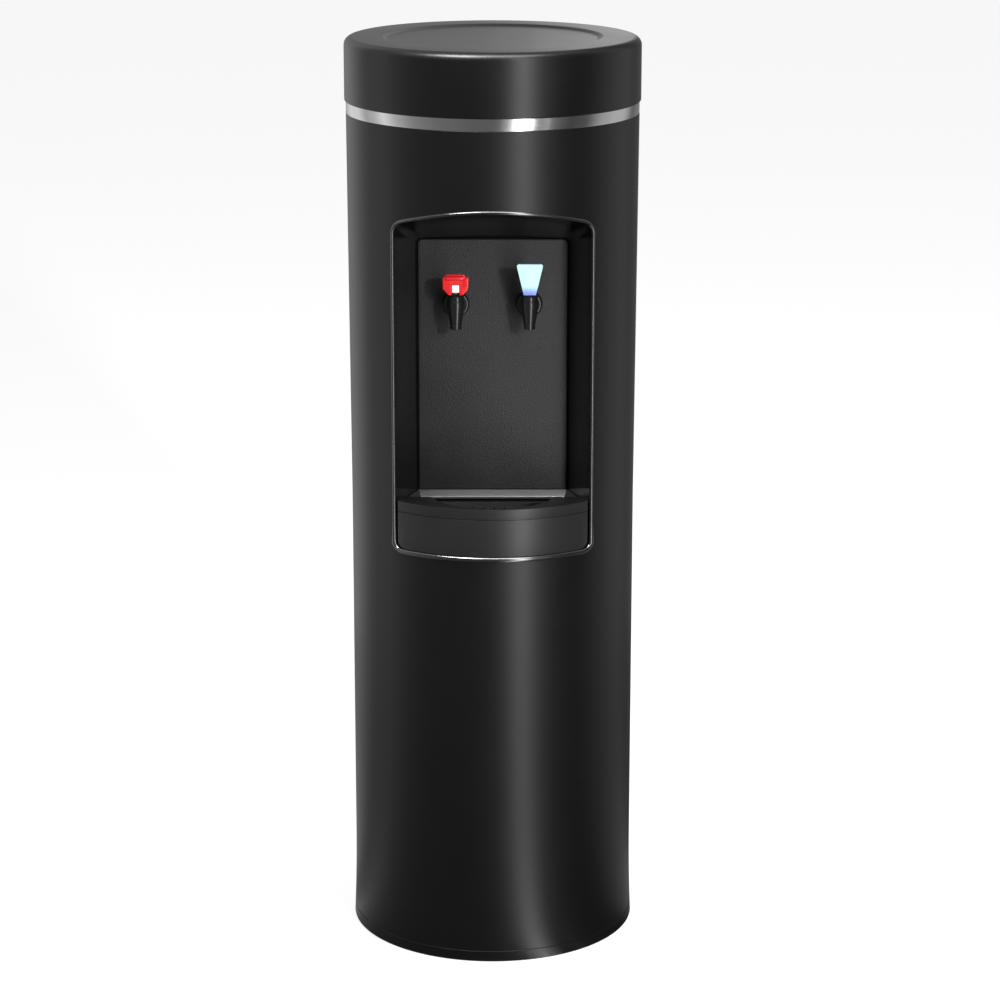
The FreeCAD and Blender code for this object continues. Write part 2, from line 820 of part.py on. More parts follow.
def well_shape(name, grow, z_from, z_to):
    disc = rod(name + "_disc", f"well_radius + {grow}", ("0", "-well_centre", z_from), f"{z_to} - ({z_from})")
    chop = block(name + "_chop", "-lid_radius", "lid_radius", "-lid_radius", f"-(well_back - ({grow}))",
                 z_from, z_to)
    return common(name, disc, chop)


def make_tray():
    plan = padded("tray_plan", tray_plan("0"), "tray_top - tray_bottom", ("0", "0", "tray_bottom"))
    round_edges(plan, "tray_corner", lambda edge: is_low(edge) and is_one_sided(edge))
    front = rod("tray_round", "tray_front", ("0", "0", "tray_bottom"), "tray_top - tray_bottom")
    solid = common("tray_solid", plan, front)
    step = block("tray_step", "-lid_radius", "lid_radius", "-tray_step", "0", "tray_step_top", "tray_top + 1")
    groove = cut("tray_groove",
                 rod("groove_out", "tray_front + 2", ("0", "0", "tray_groove_height"), "tray_groove"),
                 rod("groove_in", "tray_front - tray_groove", ("0", "0", "tray_groove_height - 1"),
                     "tray_groove + 2"))
    well = well_shape("tray_well", "0", "grille_top - grille_thickness", "tray_top + 1")
    basin = well_shape("tray_basin", "-grille_seat", "tray_bottom + tray_wall", "tray_top")
    keep(cut("drip_tray", solid, step, groove, well, basin), "drip_tray")
    grille = well_shape("grille_blank", "-grille_gap", "grille_top - grille_thickness", "grille_top")
    slots = []
    for number in range(-5, 6):
        x = f"(slot_pitch * {number})"
        shorter = f"(slot_length - {abs(number)} * slot_width)"
        slots.append(block(f"grille_slot_{number}", f"{x} - slot_width / 2", f"{x} + slot_width / 2",
                           f"-(well_back + grille_seat + {shorter})", "-(well_back + grille_seat)",
                           "grille_top - grille_thickness - 1", "grille_top + 1"))
    keep(cut("tray_grille", grille, *slots), "tray_grille")


# ---- faucets ----

def make_faucet(side, sign):
    x = f"({sign}faucet_x)"
    y = "(-nozzle_out)"
    outer = turned(side + "_nozzle", [
        ("0", "nozzle_tip"),
        ("nozzle_tip_radius", "nozzle_tip"),
        ("nozzle_radius", "nozzle_tip + nozzle_taper"),
        ("nozzle_radius", "nozzle_top"),
        ("0", "nozzle_top"),
    ], (x, y, "0"))
    shank = rod(side + "_shank", "shank_radius", (x, y, "shank_height"), "nozzle_out - shank_back", "back")
    bore = rod(side + "_bore", "water_bore", (x, y, "nozzle_tip - 1"), "chamber_floor - nozzle_tip + 2")
    chamber = rod(side + "_chamber", "chamber_radius", (x, y, "chamber_floor"),
                  "nozzle_top - chamber_floor + 1")
    feed = rod(side + "_feed", "water_bore", (x, y, "shank_height"), "nozzle_out - shank_back + 1", "back")
    blank = fuse(side + "_faucet_blank", outer, shank)
    keep(cut(side + "_faucet_body", blank, bore, chamber, feed), side + "_faucet_body")
    plunger_top = "(chamber_floor + plunger_height)"
    keep(turned(side + "_plunger", [
        ("0", "chamber_floor"),
        ("chamber_radius - plunger_clearance - 0.8", "chamber_floor"),
        ("chamber_radius - plunger_clearance", "chamber_floor + 0.8"),
        ("chamber_radius - plunger_clearance", plunger_top),
        ("0", plunger_top),
    ], (x, y, "0")), side + "_plunger")
    keep(turned(side + "_stem", [
        ("0", plunger_top),
        ("stem_radius", plunger_top),
        ("stem_radius", "stem_top - 2"),
        ("stem_radius + 1.2", "stem_top - 2"),
        ("stem_radius + 1.2", "stem_top"),
        ("0", "stem_top"),
    ], (x, y, "0")), side + "_stem")
    keep(turned(side + "_spring", [
        ("stem_radius + spring_gap", plunger_top),
        ("stem_radius + spring_gap + spring_wall", plunger_top),
        ("stem_radius + spring_gap + spring_wall", "nozzle_top - 4"),
        ("stem_radius + spring_gap", "nozzle_top - 4"),
    ], (x, y, "0")), side + "_spring")


def make_faucet_fasteners():
    collars = []
    nuts = []
    bonnets = []
    pins = []
    for side, sign in (("hot", "-"), ("cold", "")):
        x = f"({sign}faucet_x)"
        collars.append(turned(side + "_collar", [
            ("shank_radius", "0"),
            ("flange_radius", "0"),
            ("flange_radius", "flange_thickness - 3"),
            ("flange_radius - 3", "flange_thickness", "3", "left"),
            ("shank_radius", "flange_thickness"),
        ], (x, "-panel_face", "shank_height"), "front"))
        hexagon = []
        for number in range(6):
            hexagon.append((f"nut_radius * cos({60 * number} deg)", f"nut_radius * sin({60 * number} deg)"))
        nuts.append(padded(side + "_nut", hexagon, "nut_thickness", (x, "-wall_back", "shank_height"), "back",
                           holes=[("0", "0", "shank_radius")]))
        cap = turned(side + "_bonnet_cap", [
            ("stem_radius + running_clearance", "nozzle_top - 4"),
            ("chamber_radius", "nozzle_top - 4"),
            ("chamber_radius", "nozzle_top"),
            ("bonnet_radius", "nozzle_top"),
            ("bonnet_radius", "bonnet_top - 1.5"),
            ("bonnet_radius - 1.5", "bonnet_top"),
            ("stem_radius + running_clearance", "bonnet_top"),
        ], (x, "-nozzle_out", "0"))
        ears = []
        for ear_side in ("", "-"):
            near = f"{x} + ({ear_side}(ear_gap + ear_width / 2))"
            ears.append(block(side + "_ear" + ear_side, f"{near} - ear_width / 2", f"{near} + ear_width / 2",
                              "-(pin_out + ear_front)", "-(pin_out - ear_back)", "bonnet_top - 1.6",
                              "pin_height + ear_top"))
        hole = rod(side + "_ear_hole", "pin_radius", (f"{x} - 10", "-pin_out", "pin_height"), "20", "side")
        bonnets.append(cut(side + "_bonnet", fuse(side + "_bonnet_blank", cap, *ears), hole))
        pins.append(rod(side + "_pin", "pin_radius", (f"{x} - cheek_outer", "-pin_out", "pin_height"),
                        "2 * cheek_outer", "side"))
    keep(group("faucet_collars", collars), "faucet_collars")
    keep(group("faucet_nuts", nuts), "faucet_nuts")
    keep(group("faucet_bonnets", bonnets), "faucet_bonnets")
    keep(group("lever_pins", pins), "lever_pins")


def lever_foot(side, x):
    # Two cheeks that hang on the pin and the web over the valve stem that joins them.
    parts = []
    for sign in ("", "-"):
        middle = f"{x} + ({sign}(cheek_inner + cheek_width / 2))"
        parts.append(block(side + "_cheek" + sign, f"{middle} - cheek_width / 2",
                           f"{middle} + cheek_width / 2", "-(paddle_face - paddle_thickness / 2)",
                           "-web_back", "paddle_bottom", "web_height + web_thickness"))
    parts.append(block(side + "_web", f"{x} - cheek_outer", f"{x} + cheek_outer",
                       "-(paddle_face - paddle_thickness / 2)", "-web_back", "web_height",
                       "web_height + web_thickness"))
    heel = block(side + "_heel_cut", f"{x} - 12", f"{x} + 12", "-(pin_out - 3)", "0", "paddle_bottom - 1",
                 "web_height - 1")
    hole = rod(side + "_cheek_hole", "pin_radius + running_clearance",
               (f"{x} - 12", "-pin_out", "pin_height"), "24", "side")
    return parts, [heel, hole]


def make_cold_lever():
    x = "(faucet_x)"
    parts, cutters = lever_foot("cold", x)
    half_top = "cold_paddle_width / 2"
    half_foot = "cold_paddle_foot / 2"
    height = "(cold_paddle_top - paddle_bottom)"
    paddle = padded("cold_paddle", [
        (half_foot, "0"),
        (half_top, f"{height} - 3"),
        (f"{half_top} - 3", height, "3", "left"),
        (f"3 - {half_top}", height),
        (f"-{half_top}", f"{height} - 3", "3", "left"),
        (f"-{half_foot}", "0"),
    ], "paddle_thickness", (x, "-(paddle_face - paddle_thickness)", "paddle_bottom"), "front")
    keep(cut("cold_lever", fuse("cold_lever_blank", paddle, *parts), *cutters), "cold_lever")


def make_hot_lever():
    x = "(-faucet_x)"
    parts, cutters = lever_foot("hot", x)
    half = "(hot_paddle_width / 2)"
    height = "(hot_paddle_top - paddle_bottom)"
    hood = padded("hot_hood", [
        (f"{half} - 6", "0"),
        (half, "7"),
        (half, f"{height} - 4"),
        (f"{half} - 4", height, "4", "left"),
        (f"4 - {half}", height),
        (f"-{half}", f"{height} - 4", "4", "left"),
        (f"-{half}", "7"),
        (f"6 - {half}", "0"),
    ], "paddle_thickness", (x, "-(paddle_face - paddle_thickness)", "paddle_bottom"), "front")
    bar = block("hot_bar", f"{x} - {half} + 3", f"{x} + {half} - 3", "-(paddle_face + 3)",
                "-(paddle_face - 0.5)", "hot_paddle_top - 6", "hot_paddle_top - 1.5")
    window = block("hot_window", f"{x} - lock_width / 2", f"{x} + lock_width / 2", "-(paddle_face + 1)",
                   "-(paddle_face - paddle_thickness - 2)", "lock_bottom - lock_travel",
                   "lock_bottom + lock_height")
    keep(cut("hot_lever", fuse("hot_lever_blank", hood, bar, *parts), window, *cutters), "hot_lever")
    keep(block("hot_lock_button", f"{x} - lock_width / 2 + 0.3", f"{x} + lock_width / 2 - 0.3",
               "-(paddle_face + 1.6)", "-(paddle_face - paddle_thickness + 0.4)",
               "lock_bottom", "lock_bottom + lock_height - 0.3"), "hot_lock_button")


# ---- tanks and shelves ----

def shelf(name, bottom, front, holes):
    disc = rod(name + "_disc", "inner_radius", ("0", "0", bottom), "shelf_thickness")
    strip = block(name + "_strip", "-lid_radius", "lid_radius", front, "shelf_back", bottom,
                  f"{bottom} + shelf_thickness")
    cutters = []
    for number, (x, y, radius) in enumerate(holes):
        cutters.append(rod(f"{name}_hole_{number}", radius, (x, y, f"{bottom} - 1"), "shelf_thickness + 2"))
    keep(cut(name, common(name + "_blank", disc, strip), *cutters), name)


riser = ("riser_x", "riser_back")
cold_outlet = ("outlet_side", "tank_centre - outlet_lead")
feed_spot = ("feed_side", "tank_centre + feed_lag")
hot_outlet = ("-hot_outlet_side", "hot_centre - hot_outlet_lead")


def make_shelves():
    riser_hole = (*riser, "tube_radius + 2")
    shelf("upper_shelf", "upper_shelf_bottom", "upper_shelf_front", [
        riser_hole,
        (*cold_outlet, "tube_radius + 1"),
        (*feed_spot, "tube_radius + 1"),
    ])
    shelf("lower_shelf", "lower_shelf_bottom", "lower_shelf_front", [riser_hole])


def make_cold_tank():
    centre = ("0", "tank_centre", "0")
    tank = turned("reservoir_blank", [
        ("0", "reservoir_bottom"),
        ("reservoir_radius", "reservoir_bottom"),
        ("reservoir_radius", "reservoir_top"),
        ("reservoir_radius - reservoir_wall", "reservoir_top"),
        ("reservoir_radius - reservoir_wall", "reservoir_bottom + reservoir_wall"),
        ("0", "reservoir_bottom + reservoir_wall"),
    ], centre)
    ports = []
    for number, (x, y) in enumerate((cold_outlet, feed_spot)):
        ports.append(rod(f"reservoir_port_{number}", "tube_bore", (x, y, "reservoir_bottom - 1"),
                         "reservoir_wall + 2"))
    keep(cut("cold_reservoir", tank, *ports), "cold_reservoir")
    cover = turned("cover_blank", [
        ("0", "reservoir_top"),
        ("reservoir_radius + 3", "reservoir_top"),
        ("reservoir_radius + 3", "reservoir_top + cover_thickness"),
        ("0", "reservoir_top + cover_thickness"),
    ], centre)
    port = rod("cover_port", "valve_radius", ("valve_x", "tank_centre", "reservoir_top - 1"),
               "cover_thickness + 2")
    keep(cut("reservoir_cover", cover, port), "reservoir_cover")
    jacket = turned("cold_jacket_blank", [
        ("0", "upper_deck"),
        ("jacket_radius", "upper_deck"),
        ("jacket_radius", "reservoir_top - jacket_top_gap"),
        ("jacket_bore", "reservoir_top - jacket_top_gap"),
        ("jacket_bore", "reservoir_bottom"),
        ("0", "reservoir_bottom"),
    ], centre)
    holes = []
    for number, (x, y) in enumerate((cold_outlet, feed_spot)):
        holes.append(rod(f"jacket_hole_{number}", "tube_radius + 0.2", (x, y, "upper_deck - 1"),
                         "jacket_floor + 2"))
    exits = [
        rod("suction_exit", "suction_radius + 0.4", ("-suction_side", "tank_centre", "reservoir_bottom + 14"),
            "jacket_radius", "back"),
        rod("capillary_exit", "capillary_radius + 0.4",
            ("-capillary_side", "tank_centre", "reservoir_bottom + 30"), "jacket_radius", "back"),
    ]
    keep(cut("cold_jacket", jacket, *holes, *exits), "cold_jacket")
    rings = []
    turns = int(value("coil_turns"))
    for number in range(turns):
        ring = doc.addObject("Part::Torus", f"coil_ring_{number}")
        bind(ring, "Radius1", "coil_radius")
        bind(ring, "Radius2", "coil_tube")
        place(ring, ("0", "tank_centre", f"reservoir_bottom + 14 + {number} * coil_pitch"))
        rings.append(ring)
    header = rod("coil_header", "coil_tube * 0.8", ("coil_radius", "tank_centre", "reservoir_bottom + 14"),
                 f"{turns - 1} * coil_pitch")
    keep(fuse("evaporator_coil", *rings, header), "evaporator_coil")


def make_float():
    # Float valve: body hangs through the cover, its arm swings below it.
    pin_x = "(valve_x - 9)"
    pin_z = "(reservoir_top - 18)"
    body = rod("valve_body", "valve_radius", ("valve_x", "tank_centre", "reservoir_top - 22"),
               "34 + cover_thickness")
    clevis = block("valve_clevis", f"{pin_x} - 2", "valve_x - 3", "tank_centre - 1.5", "tank_centre + 1.5",
                   f"{pin_z} - 4", f"{pin_z} + 4")
    hole = rod("clevis_hole", "1.08", (pin_x, "tank_centre - 5", pin_z), "10", "back")
    mouth = rod("valve_mouth", "tube_radius",
                ("valve_x", "tank_centre", "reservoir_top + cover_thickness + 6"), "10")
    keep(cut("float_valve", fuse("valve_blank", body, clevis), hole, mouth), "float_valve")
    pin = rod("arm_pin", "1", (pin_x, "tank_centre - 4", pin_z), "8", "back")
    cheeks = []
    for sign in ("", "-"):
        middle = f"tank_centre + ({sign}2.8)"
        cheeks.append(block("arm_cheek" + sign, "float_x + 2", f"{pin_x} + 1.6", f"{middle} - 0.8",
                            f"{middle} + 0.8", f"{pin_z} - 2", f"{pin_z} + 2"))
    bridge = block("arm_bridge", "float_x - 2", "float_x + 4", "tank_centre - 3.6", "tank_centre + 3.6",
                   f"{pin_z} - 2", f"{pin_z} + 2")
    keep(fuse("float_arm", pin, bridge, *cheeks), "float_arm")
    keep(turned("float_ball", [
        ("0", f"{pin_z} - 32"),
        ("12", f"{pin_z} - 30"),
        ("14", f"{pin_z} - 26"),
        ("14", f"{pin_z} - 8"),
        ("12", f"{pin_z} - 4"),
        ("4", f"{pin_z} - 2"),
        ("0", f"{pin_z} - 2"),
    ], ("float_x", "tank_centre", "0")), "float_ball")


def make_hot_tank():
    centre = ("0", "hot_centre", "0")
    tank = turned("hot_tank_blank", [
        ("0", "hot_bottom"),
        ("hot_radius", "hot_bottom"),
        ("hot_radius", "hot_top"),
        ("0", "hot_top"),
        ("0", "hot_top - hot_wall"),
        ("hot_radius - hot_wall", "hot_top - hot_wall"),
        ("hot_radius - hot_wall", "hot_bottom + hot_wall"),
        ("0", "hot_bottom + hot_wall"),
    ], centre)
    ports = []
    for number, (x, y) in enumerate((hot_outlet, feed_spot)):
        ports.append(rod(f"hot_port_{number}", "tube_bore", (x, y, "hot_top - hot_wall - 1"), "hot_wall + 2"))
    keep(cut("hot_tank", tank, *ports), "hot_tank")
    jacket = turned("hot_jacket_blank", [
        ("0", "lower_deck"),
        ("hot_jacket_radius", "lower_deck"),
        ("hot_jacket_radius", "hot_jacket_top"),
        ("0", "hot_jacket_top"),
        ("0", "hot_top"),
        ("hot_radius", "hot_top"),
        ("hot_radius", "hot_bottom"),
        ("0", "hot_bottom"),
    ], centre)
    holes = []
    for number, (x, y) in enumerate((hot_outlet, feed_spot)):
        holes.append(rod(f"hot_jacket_hole_{number}", "tube_radius + 0.2", (x, y, "hot_top - 1"),
                         "hot_jacket_wall + 2"))
    seats = (("thermostat", "disc_side", "hot_centre"), ("cutout", "-5", "hot_centre + cutout_back"))
    for name, x, y in seats:
        holes.append(rod(name + "_well", "disc_radius + 0.2", (x, y, "hot_top - 1"), "hot_jacket_wall + 2"))
    keep(cut("hot_jacket", jacket, *holes), "hot_jacket")
    discs = [
        rod("thermostat_disc", "disc_radius", ("disc_side", "hot_centre", "hot_top"), "hot_jacket_wall"),
        rod("cutout_disc", "disc_radius", ("-5", "hot_centre + cutout_back", "hot_top"), "hot_jacket_wall"),
    ]
    keep(group("tank_thermostats", discs), "tank_thermostats")
    half = value("element_half")
    tall = value("element_height")
    corners = [FreeCAD.Vector(-half, 0, 0), FreeCAD.Vector(-half, 0, tall), FreeCAD.Vector(half, 0, tall),
               FreeCAD.Vector(half, 0, 0)]
    crown = Part.Arc(corners[1], FreeCAD.Vector(0, 0, tall + half), corners[2])
    loop = Part.Wire([
        Part.LineSegment(corners[0], corners[1]).toShape(),
        crown.toShape(),
        Part.LineSegment(corners[2], corners[3]).toShape(),
    ])
    element = pipe("heating_element", loop, value("element_radius"))
    place(element, ("0", "hot_centre", "hot_bottom + hot_wall"))
    keep(element, "heating_element")


# ---- refrigeration ----

def make_compressor():
    centre = ("0", "compressor_centre", "0")
    top = "compressor_top"
    shell = turned("compressor_shell", [
        ("0", "compressor_bottom"),
        ("compressor_radius - 14", "compressor_bottom"),
        ("compressor_radius", "compressor_bottom + 14", "14", "left"),
        ("compressor_radius", f"{top} - 40"),
        ("compressor_radius - 40", top, "40", "left"),
        ("0", top),
    ], centre)
    half = "(mount_side + plate_margin)"
    deep = "(mount_deep + plate_margin - 2)"
    plate = block("compressor_plate", f"-{half}", half, f"compressor_centre - {deep}",
                  f"compressor_centre + {deep}", "compressor_bottom - 2", "compressor_bottom")
    holes = []
    mounts = []
    for number, (left, near) in enumerate((("-", "-"), ("", "-"), ("-", ""), ("", ""))):
        spot = (f"({left}mount_side)", f"compressor_centre + ({near}mount_deep)")
        holes.append(rod(f"mount_hole_{number}", "mount_neck", (*spot, "compressor_bottom - 4"), "8"))
        mounts.append(turned(f"compressor_mount_{number}", [
            ("mount_bore", "base_top"),
            ("mount_radius", "base_top"),
            ("mount_radius", "compressor_bottom - 2"),
            ("mount_neck", "compressor_bottom - 2"),
            ("mount_neck", "compressor_bottom"),
            ("mount_neck + 3", "compressor_bottom"),
            ("mount_neck + 3", "compressor_bottom + 4"),
            ("mount_bore", "compressor_bottom + 4"),
        ], (*spot, "0")))
    keep(cut("compressor", fuse("compressor_blank", shell, plate), *holes), "compressor")
    keep(group("compressor_mounts", mounts), "compressor_mounts")
    relay = block("relay_block", "compressor_radius - 6", "compressor_radius + relay_reach",
                  "compressor_centre - relay_half", "compressor_centre + relay_half",
                  "compressor_bottom + 40", "compressor_bottom + 40 + relay_height")
    clear = rod("relay_clear", "compressor_radius", ("0", "compressor_centre", "compressor_bottom"),
                "compressor_height")
    keep(cut("relay_box", relay, clear), "relay_box")


passes = 13


def make_condenser():
    y = value("condenser_out")
    half = value("condenser_half")
    pitch = value("condenser_pitch")
    bottom = value("condenser_bottom")
    edges = []
    for number in range(passes):
        way = 1 if number % 2 == 0 else -1
        z = bottom + number * pitch
        start = FreeCAD.Vector(-half * way, y, z)
        end = FreeCAD.Vector(half * way, y, z)
        edges.append(Part.LineSegment(start, end).toShape())
        if number < passes - 1:
            middle = FreeCAD.Vector((half + pitch / 2) * way, y, z + pitch / 2)
            edges.append(Part.Arc(end, middle, end + FreeCAD.Vector(0, 0, pitch)).toShape())
    tube = pipe("condenser_tube", Part.Wire(edges), value("condenser_tube"), value("line_bore"))
    keep(tube, "condenser_tube")
    wires = []
    length = f"{passes - 1} * condenser_pitch + 20"
    for number in range(-8, 9):
        for face in ("", "-"):
            depth = f"condenser_out + ({face}(condenser_tube + wire_radius))"
            wires.append(rod(f"wire_{number}{face}", "wire_radius",
                             (f"condenser_half * {number} / 8", depth, "condenser_bottom - 10"), length))
    keep(group("condenser_wires", wires), "condenser_wires")


def make_lines():
    lines = []
    top = f"(condenser_bottom + {passes - 1} * condenser_pitch)"
    port = "(compressor_radius * 0.6)"
    stub = ("compressor_centre + " + port, "compressor_top - 22")
    lines.append(pipe("discharge_line", route([
        ("condenser_half", "condenser_out", top),
        ("condenser_half + 22", "condenser_out", top),
        ("run_side + 4", "run_back - 2", f"{top} - 30"),
        ("run_side + 4", "run_back - 2", "lines_low + 75"),
        ("run_side - 14", "run_back - 36", "lines_low + 20"),
        (port, stub[0], "lines_low"),
        (port, *stub),
    ]), value("line_radius"), value("line_bore")))
    lines.append(pipe("suction_line", route([
        ("-suction_side", "tank_centre + sqrt(coil_radius ^ 2 - suction_side ^ 2)", "reservoir_bottom + 14"),
        ("-suction_side", "line_back", "reservoir_bottom + 14"),
        ("12 - run_side", "line_back - 6", "reservoir_bottom - 6"),
        ("-run_side", "run_back", "reservoir_bottom - 60"),
        ("-run_side", "run_back", "lines_low + 75"),
        ("16 - run_side", "run_back - 34", "lines_low + 20"),
        (f"-{port}", stub[0], "lines_low"),
        (f"-{port}", *stub),
    ]), value("suction_radius"), value("suction_bore")))
    lines.append(pipe("liquid_line", route([
        ("-condenser_half", "condenser_out", "condenser_bottom"),
        ("-condenser_half - 18", "condenser_out", "condenser_bottom"),
        ("-condenser_half - 18", "condenser_out - 4", "drier_bottom - 20"),
        ("-drier_side", "drier_back", "drier_bottom - 24"),
        ("-drier_side", "drier_back", "drier_bottom"),
    ]), value("line_radius"), value("line_bore")))
    lines.append(pipe("capillary_line", route([
        ("-drier_side", "drier_back", "drier_bottom + drier_length"),
        ("-drier_side", "drier_back", "reservoir_bottom - 30"),
        ("-capillary_side - 40", "line_back - 4", "reservoir_bottom + 30"),
        ("-capillary_side", "line_back", "reservoir_bottom + 30"),
        ("-capillary_side", "tank_centre + sqrt(coil_radius ^ 2 - capillary_side ^ 2)",
         "reservoir_bottom + 30"),
    ]), value("capillary_radius")))
    keep(group("refrigerant_lines", lines), "refrigerant_lines")
    drier_top = "(drier_bottom + drier_length)"
    keep(turned("filter_drier", [
        ("0", "drier_bottom"),
        ("drier_radius - 5", "drier_bottom"),
        ("drier_radius", "drier_bottom + 10"),
        ("drier_radius", f"{drier_top} - 10"),
        ("drier_radius - 5", drier_top),
        ("0", drier_top),
    ], ("-drier_side", "drier_back", "0")), "filter_drier")


# ---- water tubes ----

def make_tubes():
    keep(pipe("cold_tube", route([
        ("faucet_x", "-shank_back", "shank_height"),
        ("faucet_x", "-tube_lane", "shank_height"),
        ("faucet_x", "-tube_lane", "upper_shelf_bottom - cold_drop"),
        (*cold_outlet, "upper_shelf_bottom - cold_drop"),
        (*cold_outlet, "reservoir_bottom"),
    ]), value("tube_radius"), value("tube_bore")), "cold_tube")
    keep(pipe("hot_tube", route([
        ("-faucet_x", "-shank_back", "shank_height"),
        ("-faucet_x", "-tube_lane", "shank_height"),
        ("-faucet_x", "-tube_lane", "upper_shelf_bottom - hot_drop"),
        (*hot_outlet, "upper_shelf_bottom - hot_drop"),
        (*hot_outlet, "hot_top"),
    ]), value("tube_radius"), value("tube_bore")), "hot_tube")
    feed = rod("feed_out", "tube_radius", (*feed_spot, "hot_top"), "reservoir_bottom - hot_top")
    feed_bore = rod("feed_in", "tube_bore", (*feed_spot, "hot_top - 1"), "reservoir_bottom - hot_top + 2")
    keep(cut("tank_feed_tube", feed, feed_bore), "tank_feed_tube")
    keep(pipe("inlet_tube", route([
        ("fitting_spread", "plate_back - 14", "service_middle"),
        ("fitting_spread", "plate_back - 33.4", "service_middle"),
        ("riser_x - 42", "plate_back - 45.4", "service_middle"),
        ("riser_x - 8", "riser_back + 40", "service_middle + 10"),
        (*riser, "service_middle + 60"),
        (*riser, "reservoir_top - 10"),
        ("riser_x - 22", "riser_back + 14", "reservoir_top + 22"),
        ("valve_x + 18", "tank_centre", "reservoir_top + 30"),
        ("valve_x", "tank_centre", "reservoir_top + 26"),
        ("valve_x", "tank_centre", "reservoir_top + cover_thickness + 6"),
    ]), value("tube_radius"), value("tube_bore")), "inlet_tube")


# ---- rear panel and plates ----

def make_rear_screws():
    screws = []
    middle = "((rear_bottom + rear_top) / 2)"
    for number, z in enumerate(("rear_bottom + 14", middle, "rear_top - 14")):
        for sign in ("", "-"):
            x = f"({sign}(rear_half - 14))"
            face = "sqrt((body_radius - 0.6) ^ 2 - (rear_half - 14) ^ 2)"
            screws.append(turned(f"rear_screw_{number}{sign}", [
                ("0", "-8"),
                ("1.8", "-8"),
                ("1.8", "0"),
                ("3.6", "0"),
                ("3.2", "1.8"),
                ("0", "1.8"),
            ], (x, face, z), "back"))
    return keep(group("rear_screws", screws), "rear_screws")


def make_rear(screws):
    blank = turned("rear_blank", skin_points("0", "inner_radius - rear_lip_wall"))
    wide = block("rear_wide", "-rear_half - rear_lip", "rear_half + rear_lip", "0", "lid_radius",
                 "rear_bottom - rear_lip", "rear_top + rear_lip")
    outside = turned("rear_outside", [
        ("inner_radius", "0"),
        ("lid_radius", "0"),
        ("lid_radius", "lid_bottom"),
        ("inner_radius", "lid_bottom"),
    ])
    window = block("rear_window", "rear_gap - rear_half", "rear_half - rear_gap", "0", "lid_radius + 1",
                   "rear_bottom + rear_gap", "rear_top - rear_gap")
    rebate = cut("rear_rebate", outside, window)
    slots = []
    for number in range(int(value("vent_rows"))):
        z = f"(rear_bottom + vent_start + {number} * vent_pitch)"
        columns = (("-vent_outer", "-vent_inner"), ("vent_inner", "vent_outer"))
        for column, (left, right) in enumerate(columns):
            slots.append(block(f"rear_slot_{number}_{column}", left, right, "plate_face - 30", "lid_radius",
                               z, f"{z} + vent_height"))
    keep(cut("rear_panel", common("rear_whole", blank, wide), rebate, screws, *slots), "rear_panel")


